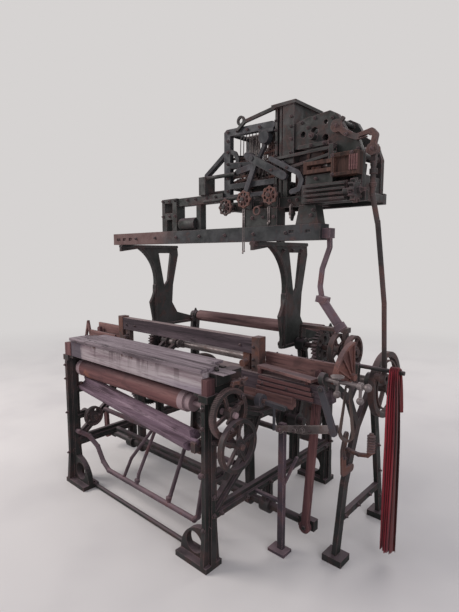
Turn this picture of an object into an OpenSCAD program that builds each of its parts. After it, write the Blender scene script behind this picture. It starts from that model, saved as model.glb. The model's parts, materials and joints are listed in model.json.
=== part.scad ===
// Power loom with an overhead shedding head, as found in a derelict weaving shed.
// X runs along the loom's width, Y from the weaver's side to the back, Z up.
// The origin lies on the floor in the middle of the four foot bolts.

/* [Loom frame] */
// Centre plane of each side frame, measured from the middle of the loom
frame_x = 552; // [540:1:580]
// Thickness of a side frame's web
frame_t = 22; // [18:1:26]
// Width of the rib cast along the middle of each frame bar
rib_w = 52; // [44:2:56]
// Centre of the front legs from the middle of the loom
front_y = 515; // [505:1:525]
// Centre of the rear legs from the middle of the loom
rear_y = 460; // [450:1:470]
// Width of a leg seen from the side
leg_w = 70; // [60:1:76]
// Height at which the breast board rests on the front legs
breast_z = 757; // [745:1:765]
// Radius of the bolt holes in the feet
foot_hole_r = 9; // [6:0.5:11]
// Height of the foot pads
foot_h = 24; // [18:1:30]

/* [Breast] */
// Height of the breast board's front face
board_h = 88; // [80:1:100]
// Thickness of the breast board
board_t = 40; // [30:1:42]
// Thickness of the planks on top of the breast
plank_t = 16; // [12:1:22]
// Depth of the front plank
plank_front_d = 108; // [90:1:112]
// Depth of the back plank
plank_back_d = 86; // [70:1:100]

/* [Take-up motion] */
// Radius of the take-up roller
take_r = 48; // [40:1:49]
// Height of the take-up roller's axis
take_z = 678; // [670:1:686]
// Radius of the take-up roller's shaft
take_shaft_r = 13; // [10:0.5:15]
// Teeth on the take-up wheel
take_teeth = 84; // [80:1:88]
// Teeth on the stud pinion
pinion_teeth = 16; // [14:1:18]
// Module of the take-up gears
take_m = 2.5; // [2.4:0.05:2.6]
// Radius of the stud wheel's rim
stud_wheel_r = 110; // [95:1:116]
// Radius of the cloth roller
cloth_r = 46; // [38:1:46]

/* [Sley] */
// Height of the rocker shaft above the floor
rocker_z = 105; // [95:1:120]
// Radius of the rocker shaft
rocker_r = 19; // [15:0.5:22]
// Height of the underside of the lay beam
lay_z = 700; // [694:1:706]
// Height of the lay beam
lay_h = 75; // [60:1:80]
// Depth of the lay beam
lay_d = 80; // [74:1:86]
// Half length of the lay beam
lay_half = 905; // [890:1:910]
// Height of the hand rail
rail_h = 73; // [60:1:80]
// Thickness of the hand rail
rail_t = 42; // [30:1:46]
// Height of the hand rail's underside above the lay beam
rail_gap = 82; // [70:1:90]

/* [Crankshaft and gears] */
// Height of the crankshaft
crank_z = 727; // [722:1:732]
// Radius of the crankshaft
crank_r = 22; // [18:0.5:24]
// Throw of the cranks
crank_throw = 40; // [34:1:42]
// Radius of the crank pins
pin_r = 16; // [12:0.5:18]
// Teeth on the crankshaft gear
crank_teeth = 30; // [29:1:31]
// Teeth on the bottom shaft gear
bottom_teeth = 60; // [58:1:62]
// Module of the side gears
side_m = 6; // [5.9:0.05:6.1]
// Face width of the side gears
side_face = 34; // [26:1:40]
// Radius of the bottom shaft
bottom_r = 20; // [16:0.5:22]
// Radius of the driving wheel at the right
drive_r = 153; // [140:1:156]
// Radius of the two counter shaft wheels
counter_wheel_r = 80; // [70:1:84]

/* [Warp side] */
// Radius of the warp beam's barrel
warp_r = 60; // [45:1:75]
// Radius of the warp beam's flanges
flange_r = 185; // [150:1:190]
// Radius of the back rest roller
rest_r = 38; // [30:1:42]

/* [Gantry] */
// Height of the gantry beam's underside
gantry_z = 1380; // [1370:1:1390]
// Height of the gantry beam
gantry_h = 65; // [55:1:75]
// Depth of the gantry beam
gantry_d = 70; // [60:1:80]
// Left end of the gantry beam
gantry_left = 596; // [580:1:610]
// Right end of the gantry beam
gantry_right = 852; // [845:1:870]
// Thickness of a gallows bracket
bracket_t = 30; // [22:1:32]

/* [Head] */
// Height of the head's sills above the gantry beam
sill_lift = 78; // [70:1:84]
// Thickness of the head's front and rear frames
head_t = 26; // [20:1:30]
// Distance between the head's front and rear frames
head_depth = 170; // [160:1:180]
// Radius of the star wheels
star_r = 40; // [34:1:42]

/* [Hidden] */
$fn = 48;

// Colours
iron = "#2e3230";
slate = "#5d6474";
rust = "#7a5040";
pale_wood = "#b9aeb0";
red_wood = "#8a4f40";
brown_wood = "#8d6f58";
grey_wood = "#857b82";
bright = "#b5ada6";

// Running clearance of a shaft in its bearing, and the seat gap between bodies
fit = 0.05;
seat = 0.3;

// Places worked out from the driving sizes
rib_face = frame_x - rib_w / 2;
outer_face = frame_x + rib_w / 2;
take_y = -465;
stud_y = -460;
take_dist = take_m * (take_teeth + pinion_teeth) / 2;
stud_z = take_z - sqrt(pow(take_dist, 2) - pow(take_y - stud_y, 2));
guide_x = -470;
guide_y = -435;
guide_z = 387;
feeler_y = -350;
feeler_z = 722;
pawl_y = -395;
pawl_z = 795;
rocker_y = -110;
lay_y = -185;
lay_top = lay_z + lay_h;
rail_y = lay_y + 20;
rail_z = lay_top + rail_gap;
crank_y = 200;
bottom_y = 120;
side_dist = side_m * (crank_teeth + bottom_teeth) / 2;
bottom_z = crank_z - sqrt(pow(side_dist, 2) - pow(crank_y - bottom_y, 2));
counter_y = 175;
counter_teeth = 26;
counter_pinion = 19;
counter_dist = side_m * (counter_teeth + counter_pinion) / 2;
counter_z = crank_z + sqrt(pow(counter_dist, 2) - pow(crank_y - counter_y, 2));
counter_shaft_r = 14;
counter_x = 667;
counter_wheel_x = [757, 837];
hanger_x = 797;
warp_y = 430;
warp_z = 430;
warp_shaft_r = 18;
rest_y = 470;
rest_z = 883;
rest_shaft_r = 12;
gantry_y = -180;
gantry_top = gantry_z + gantry_h;
bracket_x = rib_face - bracket_t / 2;
stand_x = 930;
stand_t = 22;
drive_x = 987;
arm_x = 410;
sword_x = 445;
sword_t = 26;
sword_pin = [-95, 600];
crank_phase = 165;
crank_pin = [crank_y + crank_throw * cos(crank_phase), crank_z + crank_throw * sin(crank_phase)];
sill_z = gantry_top + sill_lift;
sill_h = 42;
sill_top = sill_z + sill_h;
head_y = -140;
head_back = head_y + head_depth;

// Width of a bar's round end over the bar's own, a little less so that its edge shows a clear corner
bar_end = 0.97;

// A flat bar with round ends from a to b in the plane of the drawing
module bar2(a, b, w) {
    len = norm(b - a);
    translate(a) rotate(atan2(b[1] - a[1], b[0] - a[0])) translate([0, -w / 2]) square([len, w]);
    translate(a) circle(d = w * bar_end);
    translate(b) circle(d = w * bar_end);
}

// A run of bars through a list of points
module run2(points, w) {
    for (i = [0 : len(points) - 2]) bar2(points[i], points[i + 1], w);
}

// Lifts a drawing of (y, z) into a plate of thickness t centred on the plane x
module plate_x(x, t) {
    translate([x - t / 2, 0, 0]) rotate([90, 0, 90]) linear_extrude(t) children();
}

// Lifts a drawing of (x, z) into a plate of thickness t centred on the plane y
module plate_y(y, t) {
    translate([0, y + t / 2, 0]) rotate([90, 0, 0]) linear_extrude(t) children();
}

// A round bar between two points
module rod(a, b, r) {
    v = b - a;
    translate(a) rotate([0, acos(v[2] / norm(v)), atan2(v[1], v[0])]) cylinder(h = norm(v), r = r);
}

// A round bar along X
module xrod(x0, x1, y, z, r) {
    translate([x0, y, z]) rotate([0, 90, 0]) cylinder(h = x1 - x0, r = r);
}

// A round bar along Y
module yrod(y0, y1, x, z, r) {
    translate([x, y0, z]) rotate([-90, 0, 0]) cylinder(h = y1 - y0, r = r);
}

// A bent round bar through a list of points, with a forged swell at each corner
module bent_rod(points, r) {
    for (i = [0 : len(points) - 2]) rod(points[i], points[i + 1], r);
    for (i = [1 : len(points) - 2]) translate(points[i]) sphere(r = r * 1.12, $fn = 24);
}

// Points of an arc in the drawing, from angle a to angle b
function arc_points(c, r, a, b, n) =
    [for (i = [0 : n]) c + r * [cos(a + (b - a) * i / n), sin(a + (b - a) * i / n)]];

// A toothed outline whose teeth leave a little play at the pitch circle
module gear2(teeth, m) {
    step = 360 / teeth;
    root = m * (teeth / 2 - 1.2);
    tip = m * (teeth / 2 + 0.85);
    polygon([for (i = [0 : teeth - 1], k = [[-0.30, root], [-0.13, tip], [0.13, tip], [0.30, root]])
        k[1] * [cos((i + k[0]) * step), sin((i + k[0]) * step)]]);
}

// Turn of a gear of n2 teeth that lies at angle a from one of n1 teeth turned by turn1
function mesh_turn(a, n1, turn1, n2) =
    let (phase = (a - turn1) * n1 / 360) a + 180 + (0.5 + phase - floor(phase)) * 360 / n2;

// Straight spokes between a hub and a rim
module spokes2(n, r_in, r_out, w, turn = 0) {
    for (i = [0 : n - 1]) rotate(turn + i * 360 / n) translate([r_in, -w / 2]) square([r_out - r_in, w]);
}

// A spoked wheel about the X axis, drawn at the origin
module spoked_wheel(r, rim, width, hub_r, hub_w, bore_r, n, turn = 0, spoke_w = 12) {
    difference() {
        union() {
            plate_x(0, width) difference() {
                circle(r = r, $fn = 96);
                circle(r = r - rim, $fn = 96);
            }
            plate_x(0, width * 0.5) spokes2(n, hub_r * 0.6, r - rim * 0.5, spoke_w, turn);
            xrod(-hub_w / 2, hub_w / 2, 0, 0, hub_r);
        }
        xrod(-hub_w, hub_w, 0, 0, bore_r);
    }
}

// Side frame: one casting of ribbed bars with its bearing bosses and feet
frame_arm = [-498, -340];
plate_t = 6;
sley_dip = [[-330, 640], [-200, 590], [20, 590]];
tie_z = 235;

module frame_lines(w) {
    run2([[-front_y, 60], [-front_y, breast_z - leg_w / 2]], w);
    run2([[rear_y, 60], [rear_y, 790], [rest_y, rest_z]], w);
    bar2([-front_y, tie_z], [rear_y, tie_z], w * 0.8);
    run2([[-front_y, 690], sley_dip[0], sley_dip[1], sley_dip[2], [crank_y, crank_z], [rear_y, 760]], w * 0.8);
    run2([[-front_y, tie_z], [-300, 400], sley_dip[1]], w * 0.6);
    run2([[bottom_y, tie_z], [bottom_y, bottom_z], [crank_y, crank_z]], w * 0.8);
    bar2([rocker_y, tie_z], [rocker_y, rocker_z], w * 0.8);
    bar2([crank_y, crank_z], [counter_y, counter_z], w * 0.8);
    bar2([rear_y, warp_z], [warp_y, warp_z], w * 0.8);
    bar2([-front_y, stud_z], [stud_y, stud_z], w * 0.8);
    bar2([-front_y, guide_z], [guide_y, guide_z], w * 0.6);
}

// Bearings of the side frame: y, z and shaft radius
bearings = [[rocker_y, rocker_z, rocker_r], [crank_y, crank_z, crank_r], [bottom_y, bottom_z, bottom_r],
    [take_y, take_z, take_shaft_r], [counter_y, counter_z, counter_shaft_r],
    [warp_y, warp_z, warp_shaft_r], [rest_y, rest_z, rest_shaft_r]];
boss_wall = 18;
// Bosses without a bore, for studs: y, z and radius
stud_bosses = [[stud_y, stud_z, 24], [feeler_y, feeler_z, 20], [pawl_y, pawl_z, 17], [guide_y, guide_z, 22]];

module frame_bores() {
    for (p = bearings) translate([p[0], p[1]]) circle(r = p[2] + fit);
}

module frame_bosses() {
    for (p = bearings) translate([p[0], p[1]]) circle(r = p[2] + boss_wall);
    for (p = stud_bosses) translate([p[0], p[1]]) circle(r = p[2]);
}

foot_out = 26;
foot_in = 165;
foot_d = 96;
arch_r = 48;
foot_bolt_in = 146;
foot_bolt_y = (front_y + rear_y) / 2;

// Arched foot that spreads inwards from a leg at y, with a pad bolted to the floor
module arched_foot(y) {
    difference() {
        union() {
            plate_y(y, 30) difference() {
                polygon(concat([[frame_x + foot_out, foot_h], [frame_x + foot_out, 190], [frame_x - foot_out, 200]],
                    arc_points([frame_x - foot_out, foot_h], foot_in - foot_out, 95, 175, 10),
                    [[frame_x - foot_in, foot_h]]));
                translate([frame_x - 80, foot_h + arch_r + 12]) circle(r = arch_r);
            }
            translate([frame_x - foot_in, y - foot_d / 2, 0]) cube([foot_in + foot_out, foot_d, foot_h]);
            plate_x(frame_x, frame_t) polygon([[y - foot_d / 2, foot_h], [y - leg_w / 2, 190], [y + leg_w / 2, 190],
                [y + foot_d / 2, foot_h]]);
        }
        translate([frame_x - foot_bolt_in, sign(y) * foot_bolt_y, -1]) cylinder(h = foot_h + 2, r = foot_hole_r);
    }
}

module side_frame() {
    arm_w = frame_arm[1] - frame_arm[0];
    arm_top = breast_z + board_h - plate_t;
    difference() {
        union() {
            plate_x(frame_x, frame_t) {
                frame_lines(leg_w);
                translate([frame_arm[0], 690]) square([arm_w, arm_top - 690]);
            }
            plate_x(frame_x, rib_w) {
                difference() {
                    frame_lines(leg_w * 0.34);
                    translate([-front_y - leg_w, breast_z - 30]) square([leg_w * 2, 60]);
                }
                translate([frame_arm[0], 790]) square([arm_w, arm_top - 790]);
                translate([-front_y - leg_w / 2, breast_z - 30]) square([leg_w, 30]);
                frame_bosses();
            }
            // Lug inside the front leg that the breast board rests on
            translate([rib_face - 36, -front_y - 25, breast_z - 14]) cube([40, 44, 14]);
            arched_foot(-front_y);
            arched_foot(rear_y);
        }
        plate_x(frame_x, rib_w * 4) frame_bores();
    }
}

module frame_right() {
    color(iron) side_frame();
}

module frame_left() {
    color(iron) mirror([1, 0, 0]) side_frame();
}

// Bent foot rail between the legs, with its raking stays
rail_r = 13;
foot_rail_y = -440;
foot_rail_z = 105;
guard_y = -325;
guard_z = 385;

module front_rail() {
    color(rust) {
        bent_rod([[-rib_face, -front_y + 4, 305], [-502, -front_y + 4, 305], [-478, foot_rail_y - 24, 272], [-430, foot_rail_y, 215],
            [-375, foot_rail_y, 140], [-320, foot_rail_y, foot_rail_z], [380, foot_rail_y, foot_rail_z],
            [405, foot_rail_y, 130], [432, foot_rail_y, 260], [470, foot_rail_y - 20, 350],
            [500, -front_y + 4, 385], [rib_face, -front_y + 4, 385]], rail_r);
        xrod(-rib_face, rib_face, guard_y, guard_z, rail_r);
        bent_rod([[-180, foot_rail_y, foot_rail_z], [-150, foot_rail_y + 35, 220], [-60, guard_y, guard_z]], 9);
        bent_rod([[-60, foot_rail_y, foot_rail_z], [-60, foot_rail_y + 16, 170], [-40, guard_y, guard_z]], 9);
        bent_rod([[195, foot_rail_y, foot_rail_z], [200, foot_rail_y + 12, 150], [205, guard_y, guard_z]], 10);
        for (x = [-60, 195]) translate([x, foot_rail_y + 4, foot_rail_z + 22]) cylinder(h = 16, r = 14);
    }
}

// Rods and rails that tie the two side frames together
breast_rail_y = -395;

module cross_ties() {
    color(iron) {
        xrod(-frame_x + foot_in, frame_x - foot_in, -front_y + 30, 12, 11);
        xrod(-rib_face, rib_face, -240, tie_z, 16);
        xrod(-rib_face, rib_face, rear_y, 690, 18);
        xrod(-rib_face, rib_face, rear_y, 222, 18);
        translate([-rib_face, breast_rail_y, breast_z + 20])
            cube([2 * rib_face, 14, board_h - 20]);
        translate([-rib_face, breast_rail_y, breast_z + 20])
            cube([2 * rib_face, 50, 12]);
    }
}

// Pins, studs and hooks bolted to the side frames
hook_l = [-508, -455, 580];
hook_r = [475, -540, 549];
cloth_stub_r = 14;
hook_play = 1.2;
stud_r = 12;
hanger_w = 16;
hanger_low = counter_z + counter_shaft_r + boss_wall + seat + hanger_w / 2;

module roller_hook(p, face) {
    x0 = min(p[0], face);
    w = abs(face - p[0]);
    difference() {
        translate([x0, p[1] - 28, p[2] - 34]) cube([w, 56, 44]);
        translate([x0 - 1, p[1], p[2]]) rotate([0, 90, 0]) cylinder(h = w + 2, r = cloth_stub_r + hook_play);
        translate([x0 - 1, p[1] - cloth_stub_r - hook_play, p[2]]) cube([w + 2, 2 * (cloth_stub_r + hook_play), 20]);
    }
}

module frame_brackets() {
    color(rust) {
        roller_hook([502, hook_r[1] - 3, hook_r[2] - 1], rib_face);
        translate([502, -540, 500]) cube([rib_face - 502, 60, 16]);
        roller_hook([-514, hook_l[1], hook_l[2]], -rib_face);
        xrod(outer_face, 690, stud_y, stud_z, stud_r);
        xrod(-rib_face, guide_x + 22, guide_y, guide_z, 10);
        xrod(-rib_face, -rib_face + 24, guide_y, guide_z, 22);
        xrod(outer_face, 716, feeler_y, feeler_z, 9);
        xrod(outer_face, 643, pawl_y, pawl_z, 8);
    }
    // Hanger that carries the outer end of the counter shaft
    color(iron) difference() {
        union() {
            plate_y(counter_y, 36) run2([[frame_x, hanger_low], [frame_x + 4, counter_z + 98],
                [hanger_x, counter_z + 98], [hanger_x, counter_z]], hanger_w);
            xrod(hanger_x - 14, hanger_x + 14, counter_y, counter_z, counter_shaft_r + 14);
            translate([hanger_x - 16, counter_y - 20, counter_z + 88]) cube([32, 40, 24]);
        }
        xrod(hanger_x - 40, hanger_x + 40, counter_y, counter_z, counter_shaft_r + fit);
    }
}

// Breast board: the pale front face
board_x = [-503, 541];

module breast_board() {
    color(pale_wood) translate([board_x[0], -front_y - leg_w / 2 + 10, breast_z])
        cube([board_x[1] - board_x[0], board_t, board_h]);
}

// Two weathered planks that form the breast's top
module top_planks() {
    z = breast_z + board_h;
    y0 = -front_y - leg_w / 2;
    color(grey_wood) {
        translate([board_x[0], y0, z]) cube([board_x[1] - board_x[0] - 1, plank_front_d, plank_t]);
        translate([-452, y0 + plank_front_d + 5, z]) cube([932, plank_back_d, plank_t - 3]);
    }
    color(bright) translate([frame_x - 40, frame_arm[0] + 2, z - plate_t])
        cube([105, 76, plate_t - 1]);
}

// Wooden blocks at the ends of the breast board
module end_blocks() {
    color(red_wood) {
        translate([board_x[1] + 1, -front_y - leg_w / 2 + 4, breast_z]) cube([30, 46, 66]);
        translate([board_x[0] - 62, -front_y - leg_w / 2 + 6, breast_z]) cube([61, 40, 70]);
    }
}

// Take-up roller: wooden barrel with end bands, iron end and long shaft
take_barrel = [-512, 385];

module take_up_roller() {
    color(red_wood) {
        xrod(take_barrel[0], take_barrel[1], take_y, take_z, take_r);
        xrod(take_barrel[1], take_barrel[1] + 34, take_y, take_z, take_r * 0.82);
        xrod(take_barrel[1] + 34, 660, take_y, take_z, take_shaft_r);
        xrod(-outer_face - 14, take_barrel[0], take_y, take_z, take_shaft_r);
    }
}

// Toothed take-up wheel with its star-shaped hand knob
take_wheel_x = 618;
take_wheel_w = 22;

module take_up_wheel() {
    color(rust) translate([take_wheel_x, take_y, take_z]) difference() {
        union() {
            plate_x(0, take_wheel_w) difference() {
                gear2(take_teeth, take_m);
                circle(r = take_m * take_teeth / 2 - 20, $fn = 96);
            }
            plate_x(0, 10) spokes2(4, 14, take_m * take_teeth / 2 - 12, 16, 20);
            xrod(-take_wheel_w / 2, 30, 0, 0, 26);
            plate_x(24, 10) for (i = [0 : 3]) rotate(i * 90 + 38) bar2([0, 0], [40, 0], 17);
        }
        xrod(-20, 60, 0, 0, take_shaft_r + fit);
    }
}

// Stud wheel with its pinion
stud_wheel_x = 662;
pinion_turn = mesh_turn(atan2(stud_z - take_z, stud_y - take_y), take_teeth, 0, pinion_teeth);

module stud_wheel() {
    color(iron) translate([stud_wheel_x, stud_y, stud_z]) difference() {
        union() {
            plate_x(0, 22) difference() {
                circle(r = stud_wheel_r, $fn = 96);
                circle(r = stud_wheel_r - 17, $fn = 96);
            }
            plate_x(0, 11) spokes2(5, 12, stud_wheel_r - 10, 14, 12);
            plate_x(7, 8) polygon([[-16, -34], [40, -10], [8, 42], [-22, 30]]);
            xrod(take_wheel_x - stud_wheel_x, 18, 0, 0, 16.5);
            plate_x(take_wheel_x - stud_wheel_x, take_wheel_w) rotate(pinion_turn) gear2(pinion_teeth, take_m);
        }
        xrod(-80, 80, 0, 0, stud_r + fit);
    }
}

// Catch that rests on the take-up wheel's teeth
module take_up_pawl() {
    tip = [take_y + 16, take_z + sqrt(pow(take_m * (take_teeth / 2 + 0.85) + 6 + seat, 2) - 16 * 16)];
    color(rust) difference() {
        plate_x(take_wheel_x + 2, 14) {
            translate([pawl_y, pawl_z]) circle(r = 17);
            bar2([pawl_y, pawl_z], [pawl_y - 46, pawl_z + 6], 16);
            bar2([pawl_y - 46, pawl_z + 6], tip, 12);
            bar2([pawl_y, pawl_z], [pawl_y + 34, pawl_z + 10], 12);
        }
        xrod(500, 700, pawl_y, pawl_z, 8 + fit);
    }
}

// Cloth roller, dropped at its right end: a barrel with a deep groove
module cloth_roller() {
    v = hook_r - hook_l;
    color(pale_wood) translate(hook_l) rotate([0, acos(v[2] / norm(v)), atan2(v[1], v[0])]) rotate(-35) {
        difference() {
            translate([0, 0, 8]) cylinder(h = norm(v) - 8, r = cloth_r, $fn = 64);
            translate([0, -cloth_r - 22, -10]) rotate(45) cube([42, 42, norm(v) + 20]);
            translate([0, cloth_r + 22, -10]) rotate(225) cube([38, 38, norm(v) + 20]);
        }
        translate([0, 0, -10]) cylinder(h = norm(v) + 48, r = cloth_stub_r);
    }
}

// Small grooved pulley on the left frame
module guide_pulley() {
    color(rust) translate([guide_x, guide_y, guide_z]) difference() {
        union() {
            xrod(-14, 14, 0, 0, 26);
            plate_x(0, 22) difference() {
                circle(r = 56, $fn = 64);
                circle(r = 47, $fn = 64);
            }
            plate_x(0, 8) circle(r = 50);
        }
        xrod(-40, 40, 0, 0, 10 + fit);
        plate_x(0, 30) for (i = [0 : 4]) rotate(i * 72) translate([36, 0]) circle(r = 7);
    }
}

// Rocker shaft under the loom, with the brackets of the picking sticks at its ends
rocker_end = 742;
stick_pivot_x = 790;
stick_y = -145;
stick_t = 20;
stick_pin_r = 10;

module rocker_shaft() {
    color(iron) {
        xrod(-rocker_end, rocker_end, rocker_y, rocker_z, rocker_r);
        for (s = [-1, 1]) {
            translate([s * (rocker_end + 38) - 42, rocker_y - 12, rocker_z - 24]) cube([84, 34, 48]);
            yrod(stick_y - stick_t / 2 - 6, rocker_y - 10, s * stick_pivot_x, rocker_z, stick_pin_r);
        }
    }
}

// The two swords that carry the sley
module sword(s) {
    difference() {
        union() {
            plate_x(s * sword_x, sword_t) {
                translate([rocker_y, rocker_z]) circle(r = rocker_r + 17);
                run2([[rocker_y, rocker_z], [rocker_y - 10, 380], [lay_y + lay_d / 2 + 5, lay_z - 26]], 46);
                translate([lay_y + 4, lay_z - 26]) square([lay_d - 8, 26]);
                bar2([rocker_y - 12, sword_pin[1]], sword_pin, 44);
            }
            if (s > 0) xrod(arm_x + arm_w / 2 + 0.5, sword_x - sword_t / 2 + 2, sword_pin[0], sword_pin[1], 13);
            if (s < 0) xrod(-sword_x + sword_t / 2 - 2, -arm_x - arm_w / 2 - 0.5, sword_pin[0], sword_pin[1], 13);
        }
        xrod(s * sword_x - 100, s * sword_x + 100, rocker_y, rocker_z, rocker_r + fit);
    }
}

module sley_swords() {
    color(iron) {
        sword(1);
        sword(-1);
    }
}

// Lay beam: the long timber that carries the race and both shuttle boxes
slot_x = [757, 892];
slot_w = 30;

module lay_beam() {
    color(grey_wood) difference() {
        translate([-lay_half, lay_y, lay_z]) cube([2 * lay_half, lay_d, lay_h]);
        for (s = [0, 1]) mirror([s, 0, 0]) translate([slot_x[0], stick_y - slot_w / 2, lay_z - 1])
            cube([slot_x[1] - slot_x[0], slot_w, lay_h + 2]);
    }
}

// Hand rail above the race
rail_x = [-545, 494];

module hand_rail() {
    color(grey_wood) translate([rail_x[0], rail_y, rail_z]) cube([rail_x[1] - rail_x[0], rail_t, rail_h]);
}

// Posts that hold the hand rail's ends on the lay beam
module rail_posts() {
    color(rust) {
        for (x = [rail_x[1] + seat, rail_x[0] - seat - 44])
            translate([x, rail_y - 3, lay_top]) cube([44, rail_t + 8, rail_gap + rail_h + 8]);
        for (x = [rail_x[1] - 60, rail_x[0] + 20]) {
            translate([x, rail_y + 6, lay_top]) cube([40, rail_t - 14, rail_gap - seat]);
            yrod(rail_y - 26, rail_y + 7, x + 20, lay_top + 34, 17);
        }
    }
}

// Right shuttle box: back board, loose lid plank and the rail under the beam
box_x = [541, 900];
box_back_t = 14;

module right_box() {
    back_y = lay_y + lay_d - box_back_t;
    color(brown_wood) {
        translate([box_x[0], back_y, lay_top]) cube([box_x[1] - box_x[0], box_back_t, 92]);
        translate([box_x[0] + 4, lay_y - 16, lay_z - 48]) cube([200, 16, 54]);
        translate([462, lay_y, lay_z - 42]) cube([283, 18, 42]);
    }
    color(pale_wood) translate([box_x[0] + 6, lay_y - 8, lay_top + 30]) rotate([0, 1, -7])
        cube([310, 52, 12]);
}

// Thin laths along the box's front
module right_box_laths() {
    color(red_wood) for (i = [0 : 2])
        translate([box_x[0] + 3 + 6 * i, lay_y - 9, lay_z + 8 + 24 * i]) rotate([0, 0.6 * i, 0])
            cube([300 - 14 * i, 9, 15]);
    color(red_wood) {
        translate([box_x[0] + 3, lay_y + 1, lay_top]) cube([16, 18, 30 - seat]);
        translate([box_x[0] + 262, lay_y - 5, lay_top]) cube([14, 16, 25]);
    }
}

// Left shuttle box: back and front boards with an iron end bracket
module left_box() {
    color(brown_wood) {
        translate([-box_x[1], lay_y + lay_d - box_back_t, lay_top]) cube([305, box_back_t, 84]);
        translate([-box_x[1], lay_y, lay_top]) cube([290, 12, 40]);
        translate([-box_x[1], lay_y - 9, lay_z + 34]) cube([300, 9, 16]);
    }
    color(rust) {
        plate_y(lay_y + 18, 14) run2([[-lay_half - 8, lay_z + 20], [-lay_half - 48, lay_top + 90],
            [-lay_half - 92, lay_z + 20]], 15);
        plate_y(lay_y + 18, 14) bar2([-lay_half - 84, lay_z + 60], [-lay_half - 12, lay_z + 60], 12);
    }
}

// Wooden picking stick, hinged at the rocker shaft and reaching into the box
stick_top = 822;

module picking_stick(s) {
    pivot = [s * stick_pivot_x, rocker_z];
    top = [s * (stick_pivot_x + 55), stick_top];
    difference() {
        plate_y(stick_y, stick_t) {
            translate(pivot) circle(r = stick_pin_r + 17);
            bar2(pivot, top, 34);
        }
        yrod(stick_y - 60, stick_y + 60, pivot[0], pivot[1], stick_pin_r + fit);
    }
}

module picking_stick_right() {
    color(red_wood) picking_stick(1);
}

module picking_stick_left() {
    color(red_wood) picking_stick(-1);
}

// Crankshaft with two cranks, from the side gear to the driving wheel
web_in = 16;
web_t = 14;
arm_w = 24;

module crankshaft() {
    color(bright) {
        xrod(-660, -arm_x - web_in, crank_y, crank_z, crank_r);
        xrod(-arm_x + web_in, arm_x - web_in, crank_y, crank_z, crank_r);
        xrod(arm_x + web_in, 1012, crank_y, crank_z, crank_r);
        for (s = [-1, 1]) {
            for (k = [-1, 1]) plate_x(s * arm_x + k * (web_in + web_t / 2), web_t)
                bar2([crank_y, crank_z], crank_pin, 2 * crank_r + 8);
            xrod(s * arm_x - web_in - 1, s * arm_x + web_in + 1, crank_pin[0], crank_pin[1], pin_r);
        }
    }
}

// Gears keyed on the crankshaft: the side gear at the left, the pinion at the right
side_gear_x = -632;

module side_gears_crank() {
    color(iron) {
        translate([side_gear_x, crank_y, crank_z]) difference() {
            union() {
                plate_x(0, side_face) gear2(crank_teeth, side_m);
                xrod(-26, 26, 0, 0, 40);
            }
            xrod(-60, 60, 0, 0, crank_r + fit);
        }
        translate([counter_x, crank_y, crank_z]) difference() {
            plate_x(0, 28) gear2(counter_pinion, side_m);
            xrod(-60, 60, 0, 0, crank_r + fit);
        }
    }
}

// Turns that let the teeth of each pair meet in the gaps
bottom_turn = mesh_turn(atan2(bottom_z - crank_z, bottom_y - crank_y), crank_teeth, 0, bottom_teeth);
counter_turn = mesh_turn(atan2(counter_z - crank_z, counter_y - crank_y), counter_pinion, 0, counter_teeth);

// Driving wheel on the crankshaft's right end, with the head's crank boss on its rim
drive_pin = [-128, 62];

module drive_wheel() {
    color(rust) translate([drive_x, crank_y, crank_z]) {
        spoked_wheel(drive_r, 24, 28, 38, 44, crank_r + fit, 5, 22, 18);
        plate_x(11, 8) difference() {
            circle(r = drive_r - 38, $fn = 96);
            circle(r = drive_r - 46, $fn = 96);
        }
        xrod(8, 32, drive_pin[0], drive_pin[1], 17);
    }
}

// Crank arms from the crank pins to the swords
module crank_arms() {
    color(rust) for (s = [-1, 1]) difference() {
        plate_x(s * arm_x, arm_w) {
            translate(crank_pin) circle(r = pin_r + 17);
            bar2(crank_pin, sword_pin, 28);
            translate(sword_pin) circle(r = 25);
        }
        xrod(s * arm_x - 60, s * arm_x + 60, crank_pin[0], crank_pin[1], pin_r + fit);
        xrod(s * arm_x - 60, s * arm_x + 60, sword_pin[0], sword_pin[1], 13.6);
    }
}

// Bottom shaft with its two picking cams
cam_x = 487;
cam_w = 24;

module bottom_shaft() {
    color(iron) {
        xrod(-660, 610, bottom_y, bottom_z, bottom_r);
        for (s = [-1, 1]) plate_x(s * cam_x, cam_w) translate([bottom_y, bottom_z]) {
            circle(r = 62);
            rotate(s * 90) bar2([30, 0], [88, 0], 44);
        }
    }
}

module bottom_gear() {
    pitch = side_m * bottom_teeth / 2;
    color(iron) translate([side_gear_x, bottom_y, bottom_z]) difference() {
        union() {
            plate_x(0, side_face) difference() {
                rotate(bottom_turn) gear2(bottom_teeth, side_m);
                circle(r = pitch - 30, $fn = 96);
            }
            plate_x(0, side_face * 0.5) spokes2(6, 20, pitch - 20, 26);
            xrod(-26, 26, 0, 0, 44);
        }
        xrod(-80, 80, 0, 0, bottom_r + fit);
    }
}

// Counter shaft above the crankshaft, with its two spoked wheels
module counter_shaft() {
    color(rust) {
        xrod(rib_face + 4, 866, counter_y, counter_z, counter_shaft_r);
        for (i = [0, 1]) translate([counter_wheel_x[i], counter_y, counter_z])
            spoked_wheel(counter_wheel_r, 13, 26, 28, 34, counter_shaft_r - 1, 4, 30 + 25 * i, 13);
    }
}

module counter_gear() {
    color(iron) translate([counter_x, counter_y, counter_z]) difference() {
        plate_x(0, 24) difference() {
            rotate(counter_turn) gear2(counter_teeth, side_m);
            for (i = [0 : 4]) rotate(i * 72) translate([42, 0]) circle(r = 16);
        }
        xrod(-60, 60, 0, 0, counter_shaft_r + fit);
    }
}

// Stand outside the loom that carries the crankshaft's right end and the levers
peg = [30, 838];
peg_r = 9;
cloth_x = 1076;
rod_at = [-262, 840];
lever_pin = [-262, 800];

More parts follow.
